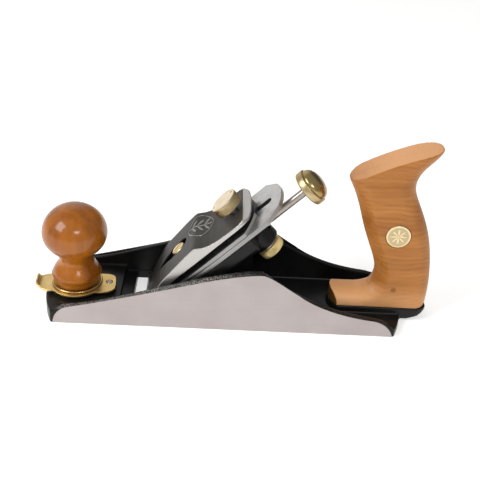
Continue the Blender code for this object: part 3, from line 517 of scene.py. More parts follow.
def wood_material(name, pale, deep, line, along, ring_gap, gloss, line_strength, tints=None, knot=None):
    """Cherry: broad colour clouds, growth lines, short dark pores along the grain and a varnish coat.

    `along` is the grain's direction as an axis index; growth lines are stacked across it.
    `tints` maps marked areas to the colour painted there, such as painted light and painted shade; `knot` is
    the place of a small dark knot.
    """
    look = Finish(name, pale, 0.42, coat=gloss, coat_roughness=0.13 if gloss > 0.4 else 0.34, specular=0.2)
    squeeze = [1.0, 1.0, 1.0]
    squeeze[along] = 0.12
    grain = look.stretched(tuple(squeeze))
    cloud = look.noise(grain, 75.0, 4.0, 0.6)
    sway = look.noise(look.stretched((14.0, 22.0, 14.0)), 1.0, 2.0)
    across = look.node("ShaderNodeSeparateXYZ", Vector=look.place).outputs["Z" if along == 0 else "X"]
    phase = look.math("ADD", look.math("MULTIPLY", across, 1.0 / ring_gap), look.math("MULTIPLY", sway, 6.5))
    wave = look.math("FRACT", phase)
    late = look.math("MULTIPLY", look.ramp(wave, 0.45, 0.9), look.ramp(wave, 1.0, 0.9))
    uneven = look.ramp(look.noise(grain, 170.0, 3.0), 0.38, 0.62)
    lines = look.math("MULTIPLY", look.math("MULTIPLY", late, uneven), line_strength)
    fine_scale = [1900.0, 1900.0, 1900.0]
    fine_scale[along] = 120.0
    pores = look.ramp(look.noise(look.stretched(tuple(fine_scale)), 1.0, 2.0, 0.6), 0.6, 0.74)
    base = look.mix(look.ramp(cloud, 0.32, 0.68), pale, deep)
    base = look.mix(lines, base, line)
    # the tints paint colour over the marked areas: light and shade as well as the end grain's colour
    for area, tint in (tints or {}).items():
        base = look.mix(look.painted(area), base, tint)
    base = look.mix(look.math("MULTIPLY", pores, 0.3), base, line)
    if knot:
        away = look.node("ShaderNodeVectorMath", {"operation": "DISTANCE"})
        look.tree.links.new(look.place, away.inputs[0])
        away.inputs[1].default_value = knot
        base = look.mix(look.ramp(away.outputs["Value"], 2.6 * MM, 1.0 * MM, 0.0, 0.75), base, line)
    look.link(base, "Base Color")
    look.link(look.ramp(pores, 0.0, 1.0, 0.4, 0.55), "Roughness")
    look.link(look.bump(pores, 0.03 * MM, -0.35), "Normal")
    return look.material


def floor_material():
    look = Finish("floor_paper", (0.93, 0.93, 0.925), 0.85, specular=0.15)
    tooth = look.noise(look.place, 400.0, 3.0)
    look.link(look.mix(look.ramp(tooth, 0.3, 0.7), (0.92, 0.92, 0.915), (0.94, 0.94, 0.935)), "Base Color")
    look.shader.inputs["Emission Color"].default_value = (1.0, 1.0, 0.995, 1.0)
    look.shader.inputs["Emission Strength"].default_value = 0.5
    return look.material


MATERIALS = {
    "cast": cast_material(),
    "ground": ground_material(),
    "steel": steel_material("bright_steel", (0.62, 0.6, 0.58), 0.26),
    "rod": steel_material("rod_steel", (0.42, 0.38, 0.34), 0.3),
    "blade": blade_material(),
    "brass": brass_material("brass", (0.86, 0.68, 0.38), 0.3),
    "brass_lever": brass_material("brass_lever", (0.84, 0.63, 0.28), 0.36, (0.05, 1.4, 1.4)),
    "brass_polished": brass_material("brass_polished", (0.66, 0.49, 0.22), 0.24, (0.6, 0.6, 0.6)),
    "brass_dome": brass_material("brass_dome", (0.44, 0.34, 0.16), 0.24, (0.4, 0.4, 0.4)),
    "brass_pale": brass_material("brass_pale", (0.9, 0.78, 0.62), 0.34, (0.6, 0.6, 0.6), 0.7),
    "brass_rim": brass_material("brass_rim", (0.54, 0.43, 0.25), 0.34, (0.6, 0.6, 0.6)),
    # paler, less metallic brass: the nut's own pale colour with painted light from the right
    "brass_nut_painted_light": brass_material("brass_nut_painted_light", (0.95, 0.74, 0.36), 0.4, (0.6, 0.6, 0.6), 0.55),
    "brass_medal": brass_material("brass_medal", (0.86, 0.71, 0.43), 0.34, (0.8, 0.8, 0.8), patina=True),
    # darker steel for the long sides of the iron and cap iron, and for the cap iron's top as painted shade
    "edge_and_shade_steel": steel_material("edge_and_shade_steel", (0.36, 0.35, 0.345), 0.4),
    "relief": steel_material("relief_metal", (0.34, 0.33, 0.31), 0.34),
    "cap": cap_material(),
    "knob": wood_material("knob_cherry", (0.47, 0.145, 0.004), (0.24, 0.062, 0.001), (0.13, 0.032, 0.002), 2,
                          5.2 * MM, 0.6, 0.12),
    "tote": wood_material("tote_cherry", (0.52, 0.215, 0.055), (0.34, 0.12, 0.022), (0.21, 0.068, 0.012), 0,
                          3.2 * MM, 0.12, 0.4,
                          # tints: the top's end grain with painted light, painted light on the foot, painted
                          # shade on the nose
                          tints={"top_end_grain_and_light": (0.88, 0.44, 0.19), "foot_painted_light": (0.95, 0.5, 0.23),
                                 "nose_painted_shade": (0.1, 0.045, 0.008)},
                          knot=(118 * MM, -TOTE_HALF * MM, 25 * MM)),
}


# ---------------------------------------------------------------- the casting

def stud_slot(low, high):
    """Cutter for the slot that the knob's stud slides in; the levels are in millimetres."""
    outline = [(x + KNOB_X / MM, y) for x, y in slot_outline(-1.7, 6.3, 4.3)]
    return solid("stud_slot", outline, low, high, "Z")


def cheek_profile():
    """Side view of the casting in millimetres, from the toe along the top of the cheek to the heel."""
    top = [(-126, 9.6), (-112.5, 9.6)]
    top += bezier((-111.5, 9.8), (-109.5, 12.2), (-108.5, 12.9), (-105.6, 13.2), 8)
    top += bezier((-105.6, 13.2), (-65, 18.6), (-28, 38.5), (20.3, 46.4), 48)
    top += arc((23.2, 38.9), 7.5, 100, 47, 12)
    top += bezier((28.5, 44.4), (50, 27), (75, 16), (104, 12.5), 32)
    top += bezier((104, 12.5), (111, 11.6), (115.5, 9.0), (118.5, 4.8), 12)
    return top + [(118.5, 4.8), (127, 4.8)]


def ground_profile():
    """Side view of the cheek's ground part, in millimetres: it runs out in a curve at both corners."""
    toe = bezier((-114.8, -2.0), (-114.8, 6.0), (-110.6, 11.2), (-104.3, 13.1), 14)
    rise = bezier((-104.3, 13.1), (-90, 16.1), (-70, 21.6), (-48.1, 27.5), 18)
    rise += bezier((-48.1, 27.5), (-36, 30.9), (-24, 34.5), (-12, 37.9), 10)
    rise += bezier((-12, 37.9), (2, 41.6), (16, 44.6), (26.4, 44.9), 10)
    fall = bezier((26.4, 44.9), (31.5, 44.6), (41, 36.8), (51.9, 29.9), 12)
    fall += bezier((51.9, 29.9), (60.5, 23.2), (78, 15.0), (103.2, 12.2), 18)
    fall += bezier((103.2, 12.2), (110.5, 11.2), (116.6, 6.2), (118.0, -2.0), 10)
    return toe + rise + fall + [(118.0, -2.0)]


def rough_casting():
    """The casting as it leaves the mould: cheeks, trough, frog with its web and boss, and the tote's pad."""
    half_width = HALF_WIDTH / MM
    heel_x, end_sag = 126.0, 7.6
    wall = half_width - 0.25
    body = solid("casting", cheek_profile() + [(127, -2), (-126, -2)], -wall, wall)
    plan = bow(half_width, end_sag, TOE_X / MM, -1) + bow(half_width, end_sag, heel_x, +1)[::-1]
    combine(body, [solid("plan", plan, -3, 60, "Z")], "INTERSECT")
    inner = half_width - CHEEK
    trough = [(-130, DECK_Z), (DECK_END_X, DECK_Z), (DECK_END_X, FLOOR_Z), (130, FLOOR_Z), (130, 60),
              (-130, 60)]
    cut(body, solid("trough", trough, -inner, inner))

    frog = solid("frog", [(3.4, -3.6), (99, -3.6), (99, -12), (12, -12)], -25, 25, place=BED)
    foot = solid("foot", [(-51.4, -2), (-40, -2), (-40, 5.4), (-45.3, 5.4)], -27.6, 27.6)
    spine = solid("spine", [(13, -8), (95, -8), (95, -18.6), (19.2, -18.6), (15.5, -15)], -15, 15, place=BED)
    boss_rim = in_mm([(0, -23.1), (9.6, -23.1), (10.8, -22.0), (10.8, -4.0), (0, -4.0)])
    boss = make("boss", turned(boss_rim, 64), on_bed(PIVOT_U))
    web = solid("web", [(-26, 2), (14, 2), (20, 30), (20, 43), (10, 38)], -4, 4)
    side = [(70, 3), (70, 9.7), (148, 9.7), (143.2, 7.6), (136.5, 3.2), (130.0, 1.0), (124, 1.0)]
    pad = solid("pad", side, -20, 20)
    pad_plan = bow(12.6, 5.6, 74.7, -1)
    pad_plan += arc((135.6, 4.5), 8.1, 90, 0, 8) + arc((135.6, -4.5), 8.1, 0, -90, 8)
    combine(pad, [solid("pad_plan", pad_plan, -1, 20, "Z")], "INTERSECT")
    add(body, foot, frog, spine, boss, web, pad)
    return soften(body, 0.8 * MM, 5)


def below_sole():
    """Everything under the sole's plane, as a cutter."""
    return brick("below_sole", (-140, -50, -10), (160, 50, 0))


def machine_casting(body):
    """Cut the sole, the toe's pocket and the mouth, the iron's seat and every hole."""
    mouth_half = 27.3
    sole = below_sole()
    pocket = brick("pocket", (-114.5, -mouth_half, -1), (DECK_END_X - 1, mouth_half, 6.8))
    mouth = solid("mouth", [(-73, -1), (-48.9, -1), (-42.0, 6.0), (-42.0, 7.2), (-73, 7.2)],
                  -mouth_half, mouth_half)
    add(sole, pocket, mouth)
    seat = brick("seat", (-10, -26.5, BED_SEAT_H), (101, 26.5, 6), BED)
    channel = brick("channel", (57, -11.8, -16), (89.4, 11.8, 2), BED)
    bore = bar("bore", 7.4, -20.5, 2, on_bed(PIVOT_U))
    stud_way = bar("stud_way", 4.4, -30, -18, on_bed(PIVOT_U))
    rod_way = brick("rod_way", (99, -4.4, -15.2), (115, 4.4, -6.4), BED)
    screw_way = bar("screw_way", 3.3, -15, 2, on_bed(CAP_SCREW_U * MM), 32)
    slot = stud_slot(5, 12)
    pin_way = bar("pin_way", 2.3, 5, 12, shift(LEVER_PIN.x), 32)
    bolt_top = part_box("tote_bolt_washer")[1].z
    bolt_way = bar("bolt_way", 6.6, -12, (bolt_top + GAP) / MM, shift(BOLT_FOOT.x))
    toe_way = bar("toe_way", 5.3, -1, 4.6, shift(middle("toe_screw").x))
    add(seat, channel, bore)
    cut(body, sole, seat, stud_way, rod_way, screw_way, slot, pin_way, bolt_way, toe_way)


def build_casting():
    body = rough_casting()
    machine_casting(body)
    outside = HALF_WIDTH / MM
    inside = outside - 1.2
    plates = solid("near_plate", ground_profile(), -outside, -inside)
    add(plates, solid("far_plate", ground_profile(), inside, outside))
    add(body, cut(plates, below_sole()))

    def rough(co, normal):
        """The filed strip on the outer edge of the near cheek's top, strongest towards the toe."""
        side_on = step(HALF_WIDTH - 4.4 * MM, HALF_WIDTH - 3.0 * MM, -co.y)
        above = step(0.1, 0.5, max(normal.z, 0.0) + 0.6 * abs(normal.y))
        forward = 1.0 - 0.9 * step(-15 * MM, 24 * MM, co.x)
        corner = step(TOE_X + 8 * MM, TOE_X + 20 * MM, co.x)
        return side_on * above * forward * corner * step(8 * MM, 11 * MM, co.z)

    def ground_face(face):
        """Whether a face lies in one of the three ground planes: the two cheeks and the sole."""
        flat_side = abs(face.normal.y) > 0.97 and abs(face.center.y) > HALF_WIDTH - 0.02 * MM
        flat_sole = face.normal.z < -0.97 and face.center.z < 0.02 * MM
        return int(flat_side or flat_sole)

    mark(body, "rough", rough)
    dress(smooth(body, 32), "cast", "plane_body", "japanned_iron", "body_casting")
    repaint(body, ["ground"], ground_face)


# ---------------------------------------------------------------- toe

def build_shoe():
    """The sliding toe piece, black above and ground below."""
    shoe = make("shoe", box(*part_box("mouth_shoe")))
    cut(shoe, bar("shoe_way", 4.3, 1.2, 8, shift(KNOB_X)))
    bevel(shoe, 0.35 * MM)
    mark(shoe, "rough", lambda co, normal: 0.0)
    smooth(shoe)
    dress(shoe, "cast", "toe_shoe", "ground_iron", "mouth_shoe")
    repaint(shoe, ["ground"], lambda face: int(face.normal.z < -0.9))


def knob_profile():
    """The turned knob in millimetres: a flaring foot band, a crease, the neck and a ball, flatter below."""
    ball_r, crown, under, ball_z, neck = 22.3, 20.4, 18.0, 53.0, -46.0
    start = (ball_r * math.cos(math.radians(neck)), ball_z + under * math.sin(math.radians(neck)))
    profile = [(15.4, 15.2), (15.75, 15.3), (15.95, 15.6), (16.5, 18.4), (17.15, 21.2), (17.15, 21.5),
               (16.85, 21.65), (16.8, 21.8)]
    profile += bezier((16.8, 22.0), (16.4, 24.2), (14.9, 26.2), (13.4, 28.6), 10)
    profile += bezier((13.4, 28.6), (11.6, 31.4), (10.4, 34.2), start, 22)
    for i in range(49):
        angle = math.radians(neck + (90.0 - neck) * i / 48)
        profile.append((ball_r * math.cos(angle), ball_z + (crown if angle > 0 else under) * math.sin(angle)))
    profile[-1] = (0.0, ball_z + crown)
    return profile


def bead_edge(low, high):
    """The half-round rim (radius, height) of a plate about the knob's axis, from the corners of its box."""
    half = (high.z - low.z) / 2
    return arc((high.x - KNOB_X - half, low.z + half), half, -90, 90, 12)


def build_knob():
    bore, bore_end = 6.8 * MM, 46 * MM
    profile = [(0.0, bore_end), (bore, bore_end), (bore, KNOB_BASE_Z)] + in_mm(knob_profile())
    knob = smooth(make("knob", turned(profile, 160), shift(KNOB_X)), 40)
    dress(knob, "knob", "knob", "knob_cherry", "front_knob")


def build_ferrule():
    """The plate under the knob, with a fine groove where the wood sits."""
    low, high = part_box("knob_ferrule")
    bore, top = 4.3 * MM, high.z
    groove = [(16.2 * MM, top), (16.0 * MM, top - 0.15 * MM), (15.6 * MM, top)]
    profile = [(bore, low.z)] + bead_edge(low, high) + groove + [(bore, top)]
    ferrule = smooth(make("ferrule", turned(profile, 160), shift(KNOB_X)), 40)
    dress(ferrule, "brass_polished", "knob", "brass", "knob_ferrule")


def build_lever_washer():
    low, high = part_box("lever_washer")
    profile = [(0, low.z)] + bead_edge(low, high) + [(0, high.z)]
    washer = make("washer", turned(profile, 160), shift(KNOB_X))
    smooth(cut(washer, stud_slot(5, 20)), 40)
    dress(washer, "brass_polished", "plane_body", "brass", "lever_washer")


def lever_outline():
    """Plan of the lever about its pin, in millimetres: rear tab, hub and thumb tab."""
    hub = (KNOB_X - LEVER_PIN.x) / MM
    hub_r, rear_far, rear_near, thumb_half = 18.4, 10.4, 13.0, 10.6
    thumb_angle = math.degrees(math.asin(thumb_half / hub_r))
    rear = bezier((-6.0, -13.4), (0.8, -rear_near), (2.2, -11.4), (4.4, -8.0), 8)
    rear += bezier((4.4, -8.0), (4.9, -2.0), (4.9, 2.0), (4.2, 6.2), 8)
    rear += bezier((4.2, 6.2), (3.4, 8.6), (1.6, 10.0), (-4.0, rear_far), 8)
    far_side = arc((hub, 0), hub_r, math.degrees(math.asin(rear_far / hub_r)), 180 - thumb_angle, 40)
    near_side = arc((hub, 0), hub_r, 180 + thumb_angle, 360 - math.degrees(math.asin(rear_near / hub_r)), 40)
    return rear + far_side + [(-40.0, thumb_half), (-40.0, -thumb_half)] + near_side


def thumb_tab():
    """The lever's end, curled up and rounded in plan, in millimetres about the pin and up from the plate."""
    centre = bezier((-39.0, 0.85), (-43.4, 0.85), (-47.2, 0.7), (-48.9, 2.4), 10)
    centre += bezier((-48.9, 2.4), (-49.9, 3.4), (-50.0, 4.8), (-49.4, 5.9), 8)
    tab = bmesh.new()
    rings = []
    straight_end, rounding_length, half_width = -40.8, 9.6, 10.5
    for i, (x, z) in enumerate(centre):
        ahead = centre[min(i + 1, len(centre) - 1)]
        behind = centre[max(i - 1, 0)]
        along = Vector((ahead[0] - behind[0], 0, ahead[1] - behind[1])).normalized()
        square = Vector((along.z, 0, -along.x))
        reach = i / (len(centre) - 1)
        rounding = min(max(straight_end - x, 0.0) / rounding_length, 0.78)
        width = half_width * math.sqrt(1 - rounding ** 2) * (1 - 0.4 * step(0.85, 1.0, reach))
        thick = square * (0.85 - 0.15 * reach)
        rings.append([tab.verts.new((Vector((x, y, z)) + thick * side) * MM) for y, side in
                      ((-width, 1), (width, 1), (width, -1), (-width, -1))])
    skin(tab, rings)
    tab.faces.new(rings[0])
    tab.faces.new(rings[-1])
    return tab


def cam_path(rest):
    """Where the stud stands in the lever's own plan as the lever swings through its range."""
    low, high = JOINTS["lever_swing"]["range_deg"]
    cam = []
    for i in range(9):
        swing = math.radians(low + (high - low) * i / 8)
        radius = LEVER_PIN.x - KNOB_X - SHOE_PER_RADIAN * swing
        angle = math.pi - swing - rest
        cam.append(Vector((radius * math.cos(angle), radius * math.sin(angle))))
    return cam


def build_lever():
    """The brass lever: a flat plate whose thumb tab curls up at the end."""
    rest = math.radians(4.0)
    place = shift(LEVER_PIN.x) @ Matrix.Rotation(rest, 4, "Z")
    low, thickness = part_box("mouth_lever")[0].z, 1.7 * MM
    lever = make("lever", prism(in_mm(lever_outline()), low, low + thickness, "Z"), place)
    add(lever, make("tab", thumb_tab(), place @ shift(0, low)))
    cam_way = make("cam", prism(path_slot(cam_path(rest), 4.4 * MM), 8 * MM, 20 * MM, "Z"), place)
    cut(lever, cam_way, bar("pin_way", 2.3, 8, 20, place, 40))
    soften(lever, 0.34 * MM, 3)
    dress(smooth(lever, 60), "brass_lever", "mouth_lever", "brass", "mouth_lever")


def build_lever_pin():
    """The pin with a chamfered head and a small centre dimple."""
    low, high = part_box("lever_pivot_pin")
    profile = [(0, low.z), (2.0 * MM, low.z), (2.0 * MM, high.z - 0.25 * MM), (1.75 * MM, high.z),
               (0.7 * MM, high.z), (0.5 * MM, high.z - 0.2 * MM), (0, high.z - 0.25 * MM)]
    pin = make("pin", turned(profile, 48), shift(LEVER_PIN.x))
    dress(smooth(pin), "rod", "plane_body", "bright_steel", "lever_pivot_pin")


# ---------------------------------------------------------------- iron, cap iron and lever cap

def darken_sides(obj, painted_shade_top=False):
    """Duller, darker steel on the long sides, the same steel on the top if asked as painted shade, and black
    inside the slot.
    """
    bright, dull, black = range(3)
    slot_half, slot_end = 7.0 * MM, 122.0 * MM

    def rule(face):
        if abs(face.normal.dot(BED_NORMAL)) > 0.5:
            # a top asked for takes the darker steel as painted shade
            return dull if painted_shade_top else bright
        if abs(face.center.y) < slot_half:
            return black if (TO_BED @ face.center).x < slot_end else bright
        return dull if abs(face.normal.y) > 0.9 else bright

    mark(obj, "rough", lambda co, normal: 0.0)
    repaint(obj, ["edge_and_shade_steel", "cast"], rule)


def build_iron():
    half, thick, shoulder, clip, end = IRON_HALF, 3.1, 116.5, 9.6, 129.4
    bowed = bow(half - clip, end - shoulder - clip, end, +1, 28)
    plan = [(0.0, -half), (shoulder, -half)] + bowed + [(shoulder, half), (0.0, half)]
    iron = solid("iron_blade", plan, -thick, 0, "Z", BED)
    bevel_run = thick / math.tan(math.radians(30))
    wedge = [(-0.65, 0.58), (0.35 + bevel_run + 1, -3.68), (-6, -4.1), (-6, 1)]
    edge = solid("edge", wedge, -30, 30, place=BED)
    narrow = solid("narrow", slot_outline(80, 117.6, 3.1), -6, 6, "Z", BED)
    wide = solid("wide", slot_outline(40, 92, 5.5), -6, 6, "Z", BED)
    cut(iron, edge, add(narrow, wide))
    bevel(iron, 0.22 * MM, 40)
    dress(smooth(iron, 32), "blade", "blade", "blade_steel", "iron")
    darken_sides(iron)


def build_cap_iron():
    """The cap iron: a plate with a rounded back end and a nose that curves down to the blade."""
    end, shoulder, half = 109.0, 99.0, IRON_HALF - 0.1
    plan = [(1.6, -half)] + bow(half, end - shoulder, end, +1, 36) + [(1.6, half)]
    low = GAP / MM
    back = solid("cap_back", plan, low, low + 2.6, "Z", BED)
    nose = [(1.0, low + 0.5)] + bezier((1.6, 0.9), (2.6, 1.9), (4.2, 2.6), (7.0, 2.95), 8)
    nose += [(7.0, 2.95), (7.0, 6.0), (1.0, 6.0)]
    nose_way = solid("nose", nose, -30, 30, place=BED)
    hole = bar("hole", 4.3, -1, 6, on_bed(70 * MM))
    shank = solid("shank", slot_outline(40, 52, 4.4), -2, 6, "Z", BED)
    cut(back, nose_way, hole, shank)
    bevel(back, 0.35 * MM, 40)
    dress(smooth(back, 32), "blade", "blade", "blade_steel", "cap_iron")
    # the cap iron's top is darkened as painted shade, for the gap under the lever cap
    darken_sides(back, painted_shade_top=True)


def cap_top(u):
    """Height of the lever cap's upper face along the bed, in millimetres."""
    stations = ((8.4, 3.4), (15, 6.2), (21, 8.4), (28.3, 11.2), (35, 12.7), (46, 14.1), (56, 15.4),
                (64, 16.1), (66.3, 15.9), (68.5, 14.6), (71, 12.9), (75, 11.3), (81, 10.4), (90, 9.9),
                (104, 9.9))
    for (u0, h0), (u1, h1) in zip(stations, stations[1:]):
        if u <= u1:
            return h0 + (h1 - h0) * (u - u0) / (u1 - u0)
    return stations[-1][1]


def cap_profile():
    """Side view of the lever cap along the bed, in millimetres."""
    top = [(u, cap_top(u)) for u in (8.4, 12, 15, 18, 21, 24.6, 28.3, 31.5, 35, 40, 46, 51, 56, 60, 64,
                                     66.3, 68.5, 71, 75, 78, 81, 85, 90, 97, 103.6)]
    end = [(103.8, 9.9), (108.4, 6.9), (108.7, 6.5), (108.5, 6.0)]
    under = [(104.5, 6.9), (97, 7.2), (40, 7.2), (28, 6.2), (15, 3.6), (9, 3.2)]
    return top + end + under


KEYHOLE_TIP_U = 22.5
KEYHOLE_CENTRE_U = 50.5


def keyhole_side(width, shares):
    """One side (u, y) of the keyhole, from its pointed lower end, in millimetres."""
    length = KEYHOLE_CENTRE_U - KEYHOLE_TIP_U
    return [(KEYHOLE_TIP_U + length * t, width * math.sin(math.pi / 2 * t ** 0.9)) for t in shares]


def keyhole(width):
    """The whole keyhole (u, y): pointed below, round above."""
    side = keyhole_side(width, (0.0, 0.04, 0.12, 0.25, 0.4, 0.55, 0.7, 0.85))
    round_end = arc((KEYHOLE_CENTRE_U, 0.0), width, 90, -90, 18)
    return side + round_end + [(u, -y) for u, y in side[:0:-1]]


def keyhole_tip(width):
    """Its pointed half, which is cut deeper because the cap slopes down there."""
    side = keyhole_side(width, (0.0, 0.04, 0.12, 0.25, 0.4, 0.5))
    return side + [(u, -y) for u, y in side[:0:-1]]


def build_lever_cap():
    half = CAP_HALF
    cap = solid("cap", cap_profile(), -half, half, place=BED)
    side = bezier((96, half), (102, half), (106.4, 23.6), (107.5, 18.0), 10)
    side += bezier((107.5, 18.0), (108.5, 12.0), (109.0, 6.0), (109.0, 0.0), 8)
    plan = [(0, half)] + side
    plan += [(u, -y) for u, y in plan[::-1]]
    combine(cap, [solid("cap_plan", plan, -5, 30, "Z", BED)], "INTERSECT")
    recess = solid("recess", keyhole(6.0), 11.0, 30, "Z", BED)
    tip = solid("tip", keyhole_tip(5.9), 8.4, 28, "Z", BED)
    entry_u = 40.5
    entry = bar("entry", 5.6, -5, 30, on_bed(entry_u * MM))
    way = solid("way", slot_outline(entry_u, 48.1, 3.6), -5, 30, "Z", BED)
    knob_way = bar("knob_way", 3.4, -5, 30, on_bed(LOCK_U))
    hollow = [(33, 0), (63, 0), (63, 12.2), (46, 10.6), (33, 8.8)]
    hollows = [solid("hollow", hollow, low, high, place=BED) for low, high in ((-21.5, -10), (10, 21.5))]
    cut(cap, recess, tip, entry, way, knob_way, *hollows)
    soften(cap, 0.45 * MM, 3)

    def bare(co, normal):
        """Bare metal on the ground sides, on the sloping upper end and along the worn edges."""
        place = TO_BED @ co
        u, y, h = place.x / MM, abs(place.y) / MM, place.z / MM
        flank = step(half - 0.75, half - 0.3, y)
        limit = half - 0.5 - 3.4 * step(98.0, 104.5, u) ** 2
        shoulder = step(0.0, 0.5, (y - limit)) if u > 94 else 0.0
        end = step(-0.3, 0.3, (u - 104.2) * 0.6 + (h - 9.9) * 0.8) if u > 100 else 0.0
        slope = step(0.25, 0.5, normal.dot(UP_BED)) if u > 101 else 0.0
        return max(flank, shoulder, slope, end * step(0.2, 0.4, normal.dot(UP_BED)))

    def deep(co, normal):
        """Where shade is painted on the cap: inside the keyhole, below the cap's upper face, and on the cap's
        underside.
        """
        place = TO_BED @ co
        u, y, h = place.x / MM, abs(place.y) / MM, place.z / MM
        inside = 20.0 < u < 58.0 and y < 6.6
        keyhole_wall = step(0.35, 0.8, cap_top(u) - h) if inside else 0.0
        return max(keyhole_wall, step(0.5, 0.8, -normal.dot(BED_NORMAL)))

    mark(cap, "bare", bare)
    # the painted shade in the keyhole and on the underside
    mark(cap, "deep", deep)
    dress(smooth(cap, 60), "cap", "lever_cap", "cap_black", "lever_cap")


def build_cap_screw():
    """The brass screw with a low domed, slotted head, whose underside is at `low`."""
    low = 11.3
    head = [(4.6, 0.0), (5.0, 0.2), (5.2, 0.6), (5.2, 2.7), (5.05, 3.0), (4.6, 3.25), (3.2, 3.5), (1.6, 3.6),
            (0, 3.62)]
    profile = in_mm([(0, -13.5), (3.0, -13.5), (3.0, low)] + [(r, low + rise) for r, rise in head])
    screw = make("cap_screw", turned(profile, 96), on_bed(CAP_SCREW_U * MM))
    groove = brick("groove", (-8, -0.6, low + 2.2), (8, 0.6, low + 6),
                   on_bed(CAP_SCREW_U * MM) @ spin(35, "Z"))
    cut(screw, groove)
    dress(smooth(screw), "brass", "plane_body", "brass", "lever_cap_screw")


def build_ornament():
    """A plain leaf ornament raised on the cap: a bordered lozenge with a stem and three pairs of leaves."""
    relief = bmesh.new()
    centre_u, centre_y, lift, sink = 68.5, 6.0, 0.38, 0.5
    sides = 5

    def strand(points, width):
        """A raised round-backed strand along points (u, y) in millimetres, laid on the cap's face."""
        rows = []
        for i, (u, y) in enumerate(points):
            ahead = points[min(i + 1, len(points) - 1)]
            behind = points[max(i - 1, 0)]
            along = Vector((ahead[0] - behind[0], ahead[1] - behind[1])).normalized()
            taper = width * (0.35 + 0.65 * math.sin(math.pi * min(max(i / (len(points) - 1), 0.02), 0.98)))
            row = []
            for k in range(sides + 1):
                angle = math.pi * k / sides
                side, rise = math.cos(angle) * taper, math.sin(angle) * lift
                pu, py = u - along.y * side, y + centre_y + along.x * side
                ph = cap_top(pu) + (rise if 0 < k < sides else -sink)
                row.append(relief.verts.new(BED @ Vector((pu * MM, py * MM, ph * MM))))
            rows.append(row)
        skin(relief, rows)
        relief.faces.new(rows[0])
        relief.faces.new(rows[-1][::-1])

    strand([(centre_u - 8 + 0.8 * i, 0.35 * math.sin(i * 0.5)) for i in range(21)], 0.55)
    for side in (-1, 1):
        for k in range(3):
            root = centre_u - 5.5 + 4.2 * k
            strand([(root + 3.36 * math.sin(0.15 * j), side * (0.6 + 10.0 * j / 9 - 3.4 * (j / 9) ** 2))
                    for j in range(10)], 0.95)
    border = []
    quarter, fullness = 16, 1.5   # steps in a quarter; an exponent of 1 is a lozenge and 2 an oval
    for i in range(4 * quarter + 1):
        angle = math.tau * (i % (4 * quarter)) / (4 * quarter)
        across, along = math.cos(angle), math.sin(angle)
        reach = (abs(across) ** fullness + abs(along) ** fullness) ** (-1 / fullness)
        border.append((centre_u + 9.6 * reach * across, 14.0 * reach * along))
    for start in range(0, 4 * quarter, quarter):
        strand(border[start:start + quarter + 1], 0.5)
    dress(smooth(make("ornament", relief), 60), "relief", "lever_cap", "cap_black")


def build_lock_knob():
    """The lever cap's knob: a knurled rim, a low crown and two dimples, with a shank below."""
    place = on_bed(LOCK_U)
    outer = 10.2
    profile = in_mm([(0, 19.0), (3.3, 19.0), (3.3, 12.2), (5.0, 12.2), (5.0, 13.0), (5.3, 13.3), (9.2, 13.5),
                     (9.9, 13.8), (outer, 14.3), (outer, 15.4), (outer, 17.4), (outer, 19.2), (outer, 20.4),
                     (10.05, 20.75), (9.7, 21.0)]
                    + bezier((9.4, 21.1), (7.0, 21.45), (3.5, 21.6), (0.02, 21.6), 10) + [(0, 21.6)])
    knob = make("cap_knob", turned(profile, 360, 90, 0.12 * MM, (15.3 * MM, 19.3 * MM, 10.0 * MM)), place)
    dimples = [bar("dimple", 0.8, 20.6, 24, place @ spin(angle, "Z") @ shift(7.8 * MM), 20)
               for angle in (12, 192)]
    cut(knob, *dimples)
    dress(smooth(knob, 28), "brass_pale", "lock_knob", "brass", "lock_knob")
    repaint(knob, ["brass_rim"], lambda face: int(face.normal.dot(BED_NORMAL) <= 0.85))


# ---------------------------------------------------------------- adjuster

def build_adjuster():
    """The adjuster's rod and its knob: a rim with a small lip and a dome; heights are from the pivot."""
    place = BED @ Matrix.Translation(ROD_START) @ spin(90, "Y")
    low, high = 61.0 * MM - PIVOT_U, 149.0 * MM - PIVOT_U
    rod_r, chamfer = 2.8 * MM, 0.4 * MM
    profile = [(0, low), (rod_r - chamfer, low), (rod_r, low + chamfer), (rod_r, high - chamfer),
               (rod_r - chamfer, high), (0, high)]
    rod = make("rod", turned(profile, 64), place)
    dress(smooth(rod), "rod", "adjuster_screw", "bright_steel", "adjuster_rod")

    face = 142.6 * MM - PIVOT_U
    bore, bore_depth = 3.1, (high - face) / MM + 0.3
    profile = [(0, bore_depth), (bore, bore_depth), (bore, 0), (11.0, 0), (12.0, 0.2), (12.5, 0.7),
               (12.6, 1.2), (12.6, 4.9), (12.4, 5.3), (12.0, 5.5), (11.5, 5.4), (11.3, 5.5), (11.35, 5.75)]
    dome_r, dome_base, dome_rise = 11.4, 5.9, 6.2
    for i in range(18):
        angle = math.radians(5.0 * i)
        profile.append((dome_r * math.cos(angle) ** 0.92, dome_base + dome_rise * math.sin(angle)))
    profile.append((0.0, dome_base + dome_rise))
    knob = make("depth_knob", turned([(r * MM, face + rise * MM) for r, rise in profile], 192), place)
    dress(smooth(knob, 40), "brass_rim", "adjuster_screw", "brass", "adjuster_knob")
    dome_start = ROD_START.x + face + 5.6 * MM
    repaint(knob, ["brass_dome"], lambda polygon: int((TO_BED @ polygon.center).x > dome_start))


